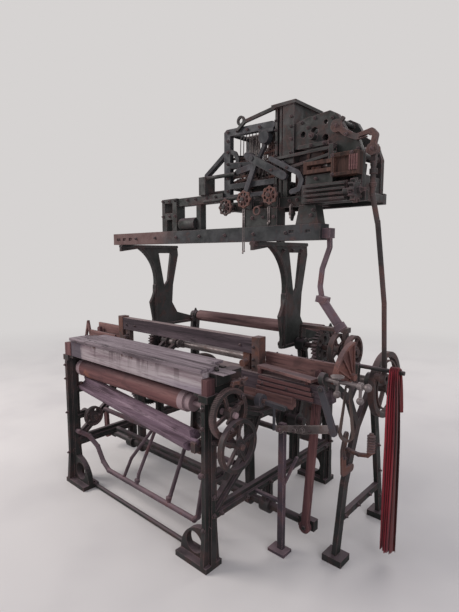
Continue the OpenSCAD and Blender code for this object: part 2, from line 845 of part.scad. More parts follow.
module outrigger_stand() {
    color(rust) difference() {
        union() {
            plate_x(stand_x, stand_t) {
                run2([[-118, 30], [-60, 330], [40, 560], [crank_y, crank_z]], 40);
                run2([[330, 30], [260, 420], [crank_y, crank_z]], 40);
                bar2([-92, 180], [300, 180], 30);
                run2([[40, 560], [-40, 700], [-170, 790], [rod_at[0], rod_at[1]]], 30);
                run2([[-40, 700], [20, 760], peg], 24);
                translate(rod_at) circle(r = 24);
            }
            xrod(stand_x - 26, stand_x + 26, crank_y, crank_z, crank_r + 20);
            for (y = [-118, 330]) translate([stand_x - 45, y - 40, 0]) cube([90, 80, 30]);
            xrod(stand_x, 1136, peg[0], peg[1], peg_r);
            yrod(lever_pin[0] - 24, lever_pin[0] + 12, stand_x, lever_pin[1], 8);
            translate([stand_x - stand_t / 2, lever_pin[0] - 10, lever_pin[1] - 12]) cube([stand_t, 30, 30]);
        }
        xrod(stand_x - 60, stand_x + 60, crank_y, crank_z, crank_r + fit);
        xrod(stand_x - 60, stand_x + 60, rod_at[0], rod_at[1], 8 + fit);
    }
}

// Ribbed quadrant plate on the stand
fan_c = [-52, 788];
fan_r = 172;

module fan_plate() {
    x = stand_x + stand_t / 2;
    color(brown_wood) {
        plate_x(x + 5, 10) difference() {
            polygon(concat([fan_c], arc_points(fan_c, fan_r, 92, 172, 16)));
            translate(fan_c) circle(r = 26);
        }
        plate_x(x + 10, 20) {
            for (a = [94, 113, 132, 151, 170]) translate(fan_c) rotate(a) translate([30, -3]) square([fan_r - 32, 6]);
            polygon(concat(arc_points(fan_c, fan_r, 92, 172, 16), arc_points(fan_c, fan_r - 12, 172, 92, 16)));
        }
        xrod(x, x + 34, fan_c[0] - 26, fan_c[1] + 26, 15);
    }
}

// Sliding rod with its collar, disc and knobs
module knob_rod() {
    color(bright) xrod(stand_x - 22, 1120, rod_at[0], rod_at[1], 8);
    color(rust) {
        for (x = [982, 1076]) xrod(x, x + 16, rod_at[0], rod_at[1], 15);
        translate([990, rod_at[0], rod_at[1] - 42]) cylinder(h = 36, r = 6);
        translate([990, rod_at[0], rod_at[1] - 50]) sphere(r = 15);
        translate([1084, rod_at[0], rod_at[1] - 46]) cylinder(h = 40, r = 6);
        translate([1084, rod_at[0], rod_at[1] - 56]) sphere(r = 14);
        translate([1112, rod_at[0], rod_at[1]]) sphere(r = 15);
    }
    color("#a08458") translate([990, rod_at[0], rod_at[1] + 6]) {
        cylinder(h = 10, r = 7);
        translate([0, 0, 10]) cylinder(h = 6, r = 26);
    }
}

// Flat link that hangs from the stand's pin
link_y = lever_pin[0] - 15;

module link_lever() {
    color(slate) difference() {
        plate_y(link_y, 9) {
            translate([stand_x, lever_pin[1]]) circle(r = 16);
            bar2([stand_x, lever_pin[1]], [988, 640], 30);
        }
        yrod(link_y - 40, link_y + 40, stand_x, lever_pin[1], 8 + fit);
    }
}

// Steel treadle bar on the post's pin
bar_y = -250;
bar_pin = [722, 574];

module steel_bar() {
    color(bright) difference() {
        plate_y(bar_y, 8) {
            polygon([[bar_pin[0] - 30, bar_pin[1] - 9], [bar_pin[0] - 30, bar_pin[1] + 9], [992, 664], [997, 634],
                [840, 586]]);
            translate(bar_pin) circle(r = 17);
        }
        yrod(bar_y - 40, bar_y + 40, bar_pin[0], bar_pin[1], 7 + fit);
    }
    color(bright) for (x = [800, 836]) yrod(bar_y - 16, bar_y - 3, x, bar_pin[1] + (x - bar_pin[0]) * 0.22 + 4, 10);
}

// Post on the floor that carries the treadle bar
post_y = -232;

module floor_post() {
    color(slate) {
        translate([706, post_y - 10, 0]) cube([28, 22, bar_pin[1] + 22]);
        translate([672, post_y - 34, 0]) cube([86, 62, 14]);
        yrod(bar_y - 14, post_y, bar_pin[0], bar_pin[1], 7);
        xrod(outer_face, 708, post_y, tie_z, 10);
        translate([714, post_y + 2, 300]) rotate([0, 24, 0]) cube([12, 10, 180]);
    }
}

// Feeler lever on its stud: a ring with a flat arm
module feeler_arm() {
    color(slate) difference() {
        union() {
            xrod(676, 704, feeler_y, feeler_z, 27);
            plate_y(feeler_y, 16) bar2([704, feeler_z - 2], [812, feeler_z - 8], 18);
            translate([760, feeler_y, feeler_z - 110]) cylinder(h = 104, r = 6);
        }
        xrod(600, 703, feeler_y, feeler_z, 9 + fit);
        xrod(700, 720, feeler_y, feeler_z, 12);
    }
}

// Curved arm bolted to the stand, with its coil spring
spring_x = 1062;
spring_y = -98;
spring_z = 520;
coil_n = 7;
coil_pitch = 11;

module spring_arm() {
    color(red_wood) {
        bent_rod([[stand_x + stand_t / 2 - 1, spring_y, 500], [965, spring_y, 505], [1010, spring_y, 498],
            [1048, spring_y, 506], [spring_x, spring_y, spring_z]], 9);
        plate_x(stand_x + stand_t / 2 + 5, 10) run2([[spring_y + 10, 560], [spring_y - 12, 500], [spring_y - 4, 400], [-30, 396]], 34);
    }
    color(bright) translate([spring_x, spring_y, spring_z]) rotate_extrude() polygon(concat([[0, -4], [9, -4]],
        [for (i = [0 : coil_n - 1], k = [[9.5, 1], [17, 4], [17, 7], [9.5, 10]]) [k[0], k[1] + i * coil_pitch]],
        [[9, coil_n * coil_pitch], [9, coil_n * coil_pitch + 6], [0, coil_n * coil_pitch + 6]]));
}

// Leather loop that hangs from the sliding rod
loop_mid = [1034, 645];
loop_w = 30;
loop_t = 6;

module loop2(w, top) {
    polygon(concat([[loop_mid[0] + 8, top], [loop_mid[0] - 8, top], [loop_mid[0] - w * 0.5, 760]],
        arc_points(loop_mid, w, 180, 360, 20), [[loop_mid[0] + w * 0.5, 760]]));
}

module leather_loop() {
    top = rod_at[1] - 8 - seat;
    color("#4d3f3a") plate_y(rod_at[0], 18) difference() {
        loop2(loop_w, top);
        loop2(loop_w - loop_t, top - loop_t);
    }
}

// Red cloth hung over the peg, in long folds
cloth_low = 40;

module red_cloth() {
    folds = 5;
    pitch = 5;
    half_d = 34;
    color("#8f2f3f") difference() {
        union() {
            translate([0, 0, cloth_low]) linear_extrude(peg[1] - cloth_low - 20) polygon(concat(
                [for (i = [0 : 2 * folds]) [cloth_x + pitch * i, peg[0] - half_d + (i % 2 == 0 ? 0 : 9)]],
                [for (i = [2 * folds : -1 : 0]) [cloth_x + pitch * i, peg[0] + half_d - (i % 2 == 0 ? 9 : 0)]]));
            xrod(cloth_x + 4, cloth_x + 2 * folds * pitch - 4, peg[0], peg[1], peg_r + 14);
            translate([cloth_x + 4, peg[0] - peg_r - 12, peg[1] - 60])
                cube([2 * folds * pitch - 8, 2 * peg_r + 24, 60]);
        }
        xrod(cloth_x - 50, cloth_x + 150, peg[0], peg[1], peg_r + seat);
    }
}

// Gallows brackets that rise from the side frames to the gantry beam
module gallows2() {
    difference() {
        polygon(concat([[-192, gantry_z - 40], [-192, gantry_z], [255, gantry_z], [262, gantry_z - 60], [214, 1120],
            [205, 1000], [250, 930], [420, 880], [430, 850], [40, 850], [44, 905]],
            arc_points([-170, 1150], 235, -35, 62, 12)));
        polygon([[95, gantry_z - 50], [200, gantry_z - 50], [172, 1150], [140, 1110]]);
    }
}

module gallows_brackets() {
    color(iron) for (s = [-1, 1]) {
        plate_x(s * bracket_x, bracket_t * 0.6) gallows2();
        plate_x(s * bracket_x, bracket_t) {
            run2([[-183, gantry_z - 9], [250, gantry_z - 9]], 18);
            run2([[50, 858], [418, 858]], 16);
            run2([[60, 870], [62, 960], [66, 1120]], 14);
            polygon(concat(arc_points([-170, 1150], 235, -12, 62, 12), arc_points([-170, 1150], 249, 62, -12, 12)));
        }
        for (y = [70, 380]) translate([s * (bracket_x - bracket_t / 2 - 5), y, 868]) rotate([0, 90, 0])
            cylinder(h = 18, r = 15, center = true, $fn = 6);
    }
}

module gantry_beam() {
    color(slate) difference() {
        translate([-gantry_left, gantry_y, gantry_z]) cube([gantry_left + gantry_right, gantry_d, gantry_h]);
        for (x = [-560, -500, -440]) translate([x, gantry_y - 1, gantry_z + 22]) cube([34, 9, 16]);
        for (x = [700, 780]) translate([x, gantry_y - 1, gantry_z + 30]) cube([26, 7, 12]);
    }
}

// Warp beam: barrel between two flanges
module warp_beam() {
    color(rust) {
        xrod(-462, 462, warp_y, warp_z, warp_r);
        for (s = [-1, 1]) {
            plate_x(s * 455, 14) translate([warp_y, warp_z]) difference() {
                circle(r = flange_r, $fn = 96);
                for (i = [0 : 5]) rotate(i * 60) translate([flange_r * 0.66, 0]) circle(r = 30);
            }
            plate_x(s * 448, 24) translate([warp_y, warp_z]) difference() {
                circle(r = flange_r, $fn = 96);
                circle(r = flange_r - 12, $fn = 96);
            }
        }
        xrod(-outer_face - 10, outer_face + 10, warp_y, warp_z, warp_shaft_r);
    }
}

module back_rest() {
    color(red_wood) {
        xrod(-505, 505, rest_y, rest_z, rest_r);
        xrod(-outer_face - 6, outer_face + 6, rest_y, rest_z, rest_shaft_r);
    }
}

// Lever that hangs from the gantry beam with a wrapped tube in its clamp
hang_x = 876;

module wrapped_tube() {
    y = gantry_y + gantry_d / 2;
    color(rust) {
        plate_y(y, 16) run2([[hang_x, gantry_z + 20], [hang_x + 2, 1350], [846, 1262], [838, 1190], [846, 1150]], 17);
        translate([gantry_right, y - 20, gantry_z + 6]) cube([36, 40, 40]);
        translate([828, y - 22, 1128]) rotate([0, 12, 0]) cube([44, 44, 26]);
    }
    color(bright) {
        rod([848, y, 1136], [934, y, 1028], 19);
        rod([926, y, 1038], [942, y, 1018], 25);
    }
}

// Head: sills, pedestals and feet on the gantry beam
module head_base() {
    color(iron) {
        for (y = [head_y, head_back]) translate([300, y - head_t / 2, sill_z]) cube([725, head_t, sill_h]);
        for (x = [310, 520, 760, 1000]) translate([x, head_y + head_t / 2 - 1, sill_z + 6])
            cube([24, head_depth - head_t + 2, 30]);
        translate([440, gantry_y + 4, gantry_top]) cube([196, gantry_d - 8, sill_lift]);
        plate_y(gantry_y + gantry_d / 2, gantry_d - 12) polygon([[730, gantry_top], [748, sill_z], [822, sill_z], [838, gantry_top]]);
        translate([bracket_x - 14, head_back - 16, gantry_z]) cube([28, 32, sill_z - gantry_z]);
        // Bob that hangs from the sill
        translate([690, head_y, sill_z - 16]) cylinder(h = 18, r = 3);
        translate([690, head_y, sill_z - 28]) sphere(r = 15);
        translate([690, head_y, sill_z - 58]) cylinder(h = 30, r1 = 5, r2 = 13);
        // Open box and long bar at the left end of the beam
        difference() {
            translate([-134, gantry_y + 6, gantry_top]) cube([118, gantry_d - 10, 170]);
            translate([-112, gantry_y - 20, gantry_top + 96]) cube([64, gantry_d + 40, 52]);
            translate([-96, gantry_y - 20, gantry_top - 1]) cube([46, gantry_d + 40, 62]);
        }
        translate([-17, gantry_y + 16, gantry_top + 128]) cube([324, 44, 40]);
        translate([120, gantry_y + 20, gantry_top]) cube([30, 40, 129]);
        xrod(4, 118, gantry_y + 30, gantry_top + 33, 33);
        xrod(-8, 5, gantry_y + 30, gantry_top + 33, 16);
        // Spindles of the star wheels, and the grid that the hooks stand on
        for (p = star_at) {
            yrod(head_y - 80, head_y - head_t / 2, p[0], p[1], spindle_r);
            translate([p[0] - 16, head_y - head_t / 2 - 12, sill_z + 2]) cube([32, 12, p[1] - sill_z + 14]);
        }
        translate([540, head_y + head_t / 2 - 1, sill_z + 30]) cube([278, head_depth - head_t + 2, 12]);
        // Rods between the long bar and the frame
        for (p = [[-22, 60, 440], [10, 100, win[0] + 1], [-26, 170, 388]])
            xrod(180, p[2], head_y + p[0], sill_z + p[1], 9);
        translate([160, head_y - 40, gantry_top + 168]) cube([44, 70, 87]);
    }
}

// Slate window frame at the head's left, front and rear
win = [306, 604];
win_post = 38;
win_low_bars = [[1584, 18], [1628, 24]];

module window2() {
    translate([win[0] + 1, sill_top]) square([win_post, 1895 - sill_top]);
    run2([[win[0] + 20, 1888], [win[1] - 16 - seat, 1879]], 32);
    run2([[win[0] + 20, 1738], [545, 1722]], 26);
    run2([[win[0] + 10, 1800], [182, 1709.5]], 18);
    for (b = win_low_bars) translate([win[0] + 10, b[0]]) square([win[1] - win[0] - 10 - seat, b[1]]);
}

module head_frame() {
    color(slate) {
        plate_y(head_y, head_t) window2();
        plate_y(head_back, head_t) window2();
        for (p = [[326, 1888], [570, 1880], [326, 1640]]) yrod(head_y, head_back, p[0], p[1], 11);
        yrod(head_y - 34, head_y, 557, 1828, 27);
        yrod(head_y - 30, head_y, 470, 1758, 19);
        plate_y(head_y, 16) run2([[557, 1828], [520, 1770], [500, 1735]], 16);
        plate_y(head_y - 6, 10) run2([[350, 1800], [372, 1790], [388, 1760], [384, 1725]], 20);
        translate([520, head_y - 20, 1850]) cube([78, 40, 14]);
    }
    front_links();
}

// Tower with twin uprights and its dark side block
module head_tower() {
    color(iron) {
        for (x = [win[1], win[1] + 24], y = [head_y, head_back])
            translate([x, y - 12, sill_top]) cube([12, 24, 1945 - sill_top]);
        translate([650, head_y - 20, 1700]) cube([56, head_depth + 40, 240]);
        translate([592, head_y - 26, 1940]) cube([124, head_depth + 52, 14]);
        plate_y(head_y - head_t / 2 - 6, 12) run2([[604, 1942], [440, 1918], [400, 1890]], 14);
        for (y = [head_y, head_back]) translate([650, y - 12, sill_top]) cube([20, 24, 1701 - sill_top]);
        for (z = [1850, 1640]) yrod(head_y, head_back, 616, z, 8);
        plate_y(head_y - 20, 10) difference() {
            translate([418, 1925]) circle(r = 22);
            translate([418, 1925]) circle(r = 12);
        }
    }
}

// Bank of upright hooks and their rods
hook_n = 5;
lever_n = 8;
lever_t = 6;
lever_pitch = 16;

module hook_bank() {
    color(rust) for (i = [0 : hook_n - 1]) {
        x = 552 + 11 * i;
        plate_y(head_y + 26, 14) {
            translate([x - 2.5, sill_top]) square([5, 1820 - sill_top + (i % 3) * 12]);
            translate([x - 2.5, 1790 + (i % 3) * 12]) square([8, 10]);
        }
    }
    color(rust) for (i = [0 : 8]) {
        x = 672 + 11 * i;
        plate_y(head_y + 60, 14) translate([x - 2.5, sill_top]) square([5, 112 + (i % 2) * 16]);
    }
    // Two packs of flat levers on their cross rods
    color(iron) {
        yrod(head_y + head_t / 2, head_back - head_t / 2, 430, 1640, 7);
        yrod(head_y + head_t / 2, head_back - head_t / 2, 860, 1742, 8);
        for (i = [0 : lever_n - 1]) plate_y(head_y + head_t / 2 + lever_t + i * lever_pitch, lever_t) {
            run2([[368, 1666 + (i % 3) * 5], [430, 1640], [528, 1656 + (i % 2) * 8]], 22);
            bar2([430, 1640], [446, 1606], 16);
            run2([[724, 1716 - (i % 3) * 6], [860, 1742], [960, 1712 + (i % 2) * 6]], 26);
            bar2([860, 1742], [850, 1650 + (i % 3) * 8], 20);
            bar2([724, 1716 - (i % 3) * 6], [724, 1664], 16);
        }
    }
}

// Right casting of the head, front and rear, with the gooseneck's pivot
goose_pivot = [905, 1812];

module casting2() {
    difference() {
        polygon([[706, 1756], [706, 1858], [760, 1872], [868, 1880], [900, 1862], [936, 1800], [985, 1768], [1010, 1700],
            [1010, sill_top], [975, sill_top], [970, 1690], [880, 1724]]);
        translate([800, 1812]) circle(r = 17);
        translate([746, 1808]) circle(r = 13);
        translate([850, 1780]) circle(r = 14);
        translate([850, 1840]) circle(r = 9);
        translate(goose_pivot) circle(r = 12.3);
    }
}

module head_casting() {
    color(iron) {
        plate_y(head_y, head_t) casting2();
        plate_y(head_back, head_t) casting2();
        for (p = [[730, 1770], [880, 1850], [992, 1700]]) yrod(head_y, head_back, p[0], p[1], 10);
        for (k = [0, 1]) translate([706, head_y + 30 + 62 * k, 1775]) cube([190, 18, 24]);
        translate([730, head_y - 22, 1750]) cube([140, 12, 16]);
        yrod(head_y - 42, head_y - 12, 800, 1790, 14);
    }
    // Long thin bars across the head's front
    color(brown_wood) {
        plate_y(head_y - 26, 10) bar2([616, 1728], [902, 1736], 12);
        plate_y(head_y - 31, 10) bar2([700, 1682], [906, 1712], 12);
        translate([880, head_y - 38, 1690]) cube([20, 26, 58]);
    }
}

// Wooden lag box
module lag_box() {
    color(red_wood) {
        difference() {
            translate([905, head_y - 62, 1618]) cube([109, 44, 84]);
            translate([905 + 12, head_y - 70, 1618 + 12]) cube([64, 20, 58]);
        }
        translate([780, head_y - 58, 1640]) cube([125, 36, 14]);
        translate([780, head_y - 58, 1672]) cube([125, 36, 14]);
        translate([780, head_y - 58, 1640]) cube([14, 36, 46]);
        yrod(head_y - 20, head_y - head_t / 2, 992, 1630, 8);
    }
}

// Ribbed barrel block under the lag box
module rib_block() {
    color(iron) {
        translate([780, head_y + head_t / 2, sill_top]) cube([226, head_depth - head_t, 60]);
        translate([770, head_y - 52, sill_z + 2]) cube([200, 52 - head_t / 2, 74]);
        translate([782, head_y - 44, sill_z + 75]) cube([121, 30, 38]);
        for (i = [0 : 3]) translate([786, head_y - 66, sill_z + 8 + 18 * i]) cube([180, 16, 8]);
        translate([998, head_y - 60, sill_z + 34]) rotate([0, 90, 0]) linear_extrude(18) gear2(12, 6.6);
        xrod(960, 1030, head_y - 60, sill_z + 34, 12);
        translate([960, head_y - 52, sill_z + 18]) cube([26, 52 - head_t / 2, 32]);
        translate([1024, head_y - 66, sill_z + 28]) cube([24, 12, 12]);
    }
}

// Scalloped star wheels on short spindles at the head's front
star_at = [[472, 1567], [616, 1573], [360, 1540]];
spindle_r = 9;

module star_wheel(p) {
    y = head_y - 62;
    difference() {
        union() {
            plate_y(y, 10) difference() {
                union() {
                    translate(p) circle(r = star_r - 5);
                    for (i = [0 : 7]) translate(p) rotate(i * 45) translate([star_r - 8, 0]) circle(r = 8, $fn = 24);
                }
                for (i = [0 : 7]) translate(p) rotate(i * 45 + 22.5) translate([star_r * 0.58, 0]) circle(r = 7.4, $fn = 24);
            }
            yrod(y - 12, y + 26, p[0], p[1], 15);
        }
        yrod(y - 60, y + 60, p[0], p[1], spindle_r + fit);
    }
}

module star_wheel_a() {
    color(rust) star_wheel(star_at[0]);
}

module star_wheel_b() {
    color(rust) star_wheel(star_at[1]);
}

module star_wheel_c() {
    color(rust) star_wheel(star_at[2]);
}

// Gooseneck lever at the head's right end
goose_y = head_y;
goose_eye = [1052, 1704];

module gooseneck() {
    color(iron) difference() {
        union() {
            plate_y(goose_y - head_t / 2 - 10, 14) {
                translate(goose_pivot) circle(r = 24);
                run2([goose_pivot, [948, 1776], [990, 1756], [1048, 1768], [1062, 1752], goose_eye], 22);
                translate(goose_eye) circle(r = 22);
                bar2(goose_pivot, [930, 1836], 14);
            }
            yrod(goose_y - head_t / 2 - 10, goose_y + head_t / 2 + 12, goose_pivot[0], goose_pivot[1], 12.25);
        }
        plate_y(goose_y, 100) bar2([1000, 1752], [1036, 1757], 6);
        yrod(goose_y - 100, goose_y + 100, goose_eye[0], goose_eye[1], 9 + fit);
    }
}

// Long connecting rod from the gooseneck down to the driving wheel
rod_foot = [1032, crank_y + drive_pin[0], crank_z + drive_pin[1]];

module connecting_rod() {
    y = goose_y - head_t / 2 - 10;
    color(rust) {
        yrod(y - 10, y + 24, goose_eye[0], goose_eye[1], 9);
        plate_y(y + 17, 14) {
            translate(goose_eye) circle(r = 20);
            bar2(goose_eye, [1050, 1650], 20);
        }
        rod([1050, y + 17, 1662], [1047, y + 22, 1540], 10);
        rod([1047, y + 22, 1548], [1062, y + 44, 1440], 10);
        rod([1062, y + 44, 1448], [1060, -20, 1120], 10);
        rod([1060, -22, 1130], rod_foot + [4, -3, 14], 10);
        difference() {
            translate(rod_foot) xrod(-10, 14, 0, 0, 24);
            translate(rod_foot) xrod(-40, 40, 0, 0, 12);
        }
        translate([1050, y + 19, 1618]) cylinder(h = 18, r = 15);
        translate([1048, y + 21, 1572]) cylinder(h = 14, r = 14);
    }
}

// Grey arm that swings on a pin at the front of the head
swing_y = head_y - 38;
swing_pin = [500, 1744];
swing_pin_r = 11;

module swing_arm() {
    color(slate) difference() {
        plate_y(swing_y, 16) {
            bar2(swing_pin, [672, 1650], 34);
            bar2(swing_pin, [470, 1762], 26);
        }
        yrod(swing_y - 40, swing_y + 40, swing_pin[0], swing_pin[1], swing_pin_r + fit);
    }
}

// Links and the hooked arm fixed on the head's front
module front_links() {
    y = head_y - head_t / 2 - 8;
    face = head_y - head_t / 2;
    color(slate) {
        plate_y(y, 12) bar2([500, 1716], [452, 1612], 24);
        plate_y(y, 12) bar2([405, 1702], [500, 1716], 26);
        yrod(y, face, 500, 1722, 9);
        yrod(y, face, 410, 1728, 7);
        yrod(swing_y - 12, face, swing_pin[0], swing_pin[1], swing_pin_r);
    }
    color(brown_wood) {
        plate_y(swing_y - 4, 12) run2([[606, 1728], [748, 1652], [764, 1622], [752, 1588], [716, 1580]], 21);
        yrod(swing_y, head_y - 20, 662, 1706, 8);
    }
}

frame_right();
frame_left();
front_rail();
cross_ties();
frame_brackets();
breast_board();
top_planks();
end_blocks();
take_up_roller();
take_up_wheel();
stud_wheel();
take_up_pawl();
cloth_roller();
guide_pulley();
rocker_shaft();
sley_swords();
lay_beam();
hand_rail();
rail_posts();
right_box();
right_box_laths();
left_box();
picking_stick_right();
picking_stick_left();
crankshaft();
side_gears_crank();
drive_wheel();
crank_arms();
bottom_shaft();
bottom_gear();
counter_shaft();
counter_gear();
outrigger_stand();
fan_plate();
knob_rod();
link_lever();
steel_bar();
floor_post();
feeler_arm();
spring_arm();
leather_loop();
red_cloth();
gallows_brackets();
gantry_beam();
warp_beam();
back_rest();
wrapped_tube();
head_base();
head_frame();
head_tower();
hook_bank();
head_casting();
lag_box();
rib_block();
star_wheel_a();
star_wheel_b();
star_wheel_c();
gooseneck();
connecting_rod();
swing_arm();
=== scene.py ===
"""A worn power loom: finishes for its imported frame, its cloth and small fittings, and a plain studio."""
import json
import math
import random

import bmesh
import bpy
from mathutils import Matrix, Vector


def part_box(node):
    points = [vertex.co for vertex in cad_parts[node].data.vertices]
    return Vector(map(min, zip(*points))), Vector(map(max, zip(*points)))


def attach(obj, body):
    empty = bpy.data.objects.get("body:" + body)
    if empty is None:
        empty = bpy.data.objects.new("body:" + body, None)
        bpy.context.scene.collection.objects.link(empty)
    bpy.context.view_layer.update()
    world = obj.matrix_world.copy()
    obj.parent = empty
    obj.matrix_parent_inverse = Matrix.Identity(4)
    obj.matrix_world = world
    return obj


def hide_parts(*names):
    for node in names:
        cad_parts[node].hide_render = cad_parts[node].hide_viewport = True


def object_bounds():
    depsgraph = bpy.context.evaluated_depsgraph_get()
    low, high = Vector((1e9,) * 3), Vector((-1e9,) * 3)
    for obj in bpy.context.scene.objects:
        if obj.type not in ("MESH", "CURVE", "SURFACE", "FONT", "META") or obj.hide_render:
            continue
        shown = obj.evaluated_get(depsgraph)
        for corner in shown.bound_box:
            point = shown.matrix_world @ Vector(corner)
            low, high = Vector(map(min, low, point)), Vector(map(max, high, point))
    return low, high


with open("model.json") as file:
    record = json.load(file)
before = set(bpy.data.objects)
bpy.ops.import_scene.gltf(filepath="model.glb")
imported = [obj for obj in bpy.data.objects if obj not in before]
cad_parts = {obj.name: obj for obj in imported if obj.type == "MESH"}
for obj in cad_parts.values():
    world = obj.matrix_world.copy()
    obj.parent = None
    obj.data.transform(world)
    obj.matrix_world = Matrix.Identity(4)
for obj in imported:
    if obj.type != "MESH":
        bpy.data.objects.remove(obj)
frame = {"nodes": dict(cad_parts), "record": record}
cad_low, cad_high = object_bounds()
nodes = frame["nodes"]


# Camera at the photograph's viewing angle
IMAGE_WIDTH = 459
IMAGE_HEIGHT = 612
SENSOR = 36
FOCAL_PIXELS = 440
CAMERA_PLACE = Vector((1.773, -1.749, 1.32))
CAMERA_HEADING = 41.9
CAMERA_PITCH = -6.65


def make_camera():
    data = bpy.data.cameras.new("camera")
    data.sensor_width = SENSOR
    data.lens = SENSOR * FOCAL_PIXELS / max(IMAGE_WIDTH, IMAGE_HEIGHT)
    data.clip_start = 0.05
    camera = bpy.data.objects.new("camera", data)
    bpy.context.scene.collection.objects.link(camera)
    camera.location = CAMERA_PLACE
    camera.rotation_euler = (math.radians(90 + CAMERA_PITCH), 0, math.radians(CAMERA_HEADING))
    bpy.context.scene.camera = camera


# Colours are written as they look on a screen, from 0 to 255
def tone(red, green, blue):
    def linear(value):
        share = value / 255
        return share / 12.92 if share <= 0.04045 else ((share + 0.055) / 1.055) ** 2.4

    return (linear(red), linear(green), linear(blue), 1)


class Graph:
    """A material's nodes, with one short call for each kind that is used often."""

    def __init__(self, name):
        self.material = bpy.data.materials.new(name)
        self.material.use_nodes = True
        self.tree = self.material.node_tree
        self.shader = self.tree.nodes["Principled BSDF"]
        self.place = self.add("ShaderNodeTexCoord")

    def add(self, kind, inputs=None, **settings):
        node = self.tree.nodes.new(kind)
        for key, value in settings.items():
            setattr(node, key, value)
        for key, value in (inputs or {}).items():
            self.put(node.inputs[key], value)
        return node

    def put(self, socket, value):
        if isinstance(value, bpy.types.NodeSocket):
            self.tree.links.new(value, socket)
        else:
            socket.default_value = value

    def coords(self, scale=(1, 1, 1)):
        mapping = self.add("ShaderNodeMapping", {"Vector": self.place.outputs["Object"], "Scale": scale})
        return mapping.outputs["Vector"]

    def noise(self, scale, detail=4.0, rough=0.55, at=None, twist=0.0):
        at = self.place.outputs["Object"] if at is None else at
        settings = {"Vector": at, "Scale": scale, "Detail": detail, "Roughness": rough, "Distortion": twist}
        return self.add("ShaderNodeTexNoise", settings).outputs["Fac"]

    def math(self, operation, first, second=0.0, clamp=False):
        node = self.add("ShaderNodeMath", operation=operation, use_clamp=clamp)
        self.put(node.inputs[0], first)
        self.put(node.inputs[1], second)
        return node.outputs[0]

    def ramp(self, value, low, high, start=0.0, end=1.0):
        node = self.add("ShaderNodeMapRange", interpolation_type="SMOOTHSTEP")
        for key, given in zip(("Value", "From Min", "From Max", "To Min", "To Max"), (value, low, high, start, end)):
            self.put(node.inputs[key], given)
        return node.outputs["Result"]

    def mix(self, first, second, share):
        node = self.add("ShaderNodeMix", data_type="RGBA")
        self.put(node.inputs[0], share)
        self.put(node.inputs[6], first)
        self.put(node.inputs[7], second)
        return node.outputs[2]

    def part(self, vector, axis):
        return self.add("ShaderNodeSeparateXYZ", {"Vector": vector}).outputs[axis]

    def axis(self, axis):
        return self.part(self.place.outputs["Object"], axis)

    def facing_up(self, low=0.35, high=0.9):
        return self.ramp(self.part(self.place.outputs["Normal"], "Z"), low, high)

    def rounded(self, radius):
        return self.add("ShaderNodeBevel", {"Radius": radius}, samples=4).outputs["Normal"]

    def edges(self, rounded, low=0.01, high=0.12):
        flat = self.add("ShaderNodeNewGeometry").outputs["Normal"]
        node = self.add("ShaderNodeVectorMath", operation="DOT_PRODUCT")
        self.put(node.inputs[0], rounded)
        self.put(node.inputs[1], flat)
        return self.ramp(self.math("SUBTRACT", 1.0, node.outputs["Value"]), low, high)

    def bump(self, height, strength, distance, normal=None):
        inputs = {"Height": height, "Strength": strength, "Distance": distance}
        if normal is not None:
            inputs["Normal"] = normal
        return self.add("ShaderNodeBump", inputs).outputs["Normal"]

    def finish(self, colour, roughness, normal, metallic=0.0, specular=0.4):
        self.put(self.shader.inputs["Base Color"], colour)
        self.put(self.shader.inputs["Roughness"], roughness)
        self.put(self.shader.inputs["Normal"], normal)
        self.shader.inputs["Metallic"].default_value = metallic
        self.shader.inputs["Specular IOR Level"].default_value = specular
        return self.material


# Old cast or forged iron: dark skin, rust in patches, pale edges that are partly bare wear and partly a painted
# highlight, and dust on what faces up
def iron(name, skin, deep, rust, edge, dust, rusting=0.5, dusting=0.6, rough=0.62, metallic=0.25,
         extra=None):
    g = Graph(name)
    cloud = g.noise(5.0, 5.0, 0.6)
    patch = g.noise(17.0, 6.0, 0.62, twist=0.4)
    grit = g.noise(140.0, 3.0, 0.6)
    colour = g.mix(deep, skin, g.ramp(cloud, 0.35, 0.62))
    rust_tone = g.mix(rust, g.mix(rust, deep, 0.55), g.ramp(grit, 0.4, 0.65))
    rusty = g.ramp(g.math("ADD", g.math("MULTIPLY", cloud, 0.45), g.math("MULTIPLY", patch, 0.55)),
                   0.60 - 0.22 * rusting, 0.68 - 0.16 * rusting)
    colour = g.mix(colour, rust_tone, g.math("MULTIPLY", rusty, min(1.0, 0.35 + 0.65 * rusting)))
    if extra is not None:
        colour = extra(g, colour, cloud)
    rounded = g.rounded(0.0035)
    # Pale edge colour: partly worn bare metal, partly a painted highlight where the edges catch the light
    worn = g.math("MULTIPLY", g.edges(rounded), g.ramp(patch, 0.34, 0.60, 0.25, 0.95))
    colour = g.mix(colour, edge, worn)
    dusty = g.math("MULTIPLY", g.facing_up(), g.ramp(patch, 0.3, 0.6, dusting * 0.45, dusting))
    colour = g.mix(colour, dust, dusty)
    roughness = g.ramp(patch, 0.3, 0.7, rough - 0.1, min(0.95, rough + 0.22))
    height = g.math("ADD", grit, g.math("MULTIPLY", patch, 2.5))
    return g.finish(colour, roughness, g.bump(height, 0.35, 0.0012, rounded), metallic, 0.45)


# Bare timber with its grain along one axis: streaks, drying cracks, stains and worn arrises
GRAIN = {"X": (0.9, 16, 16), "Y": (16, 0.9, 16), "Z": (16, 16, 0.9)}


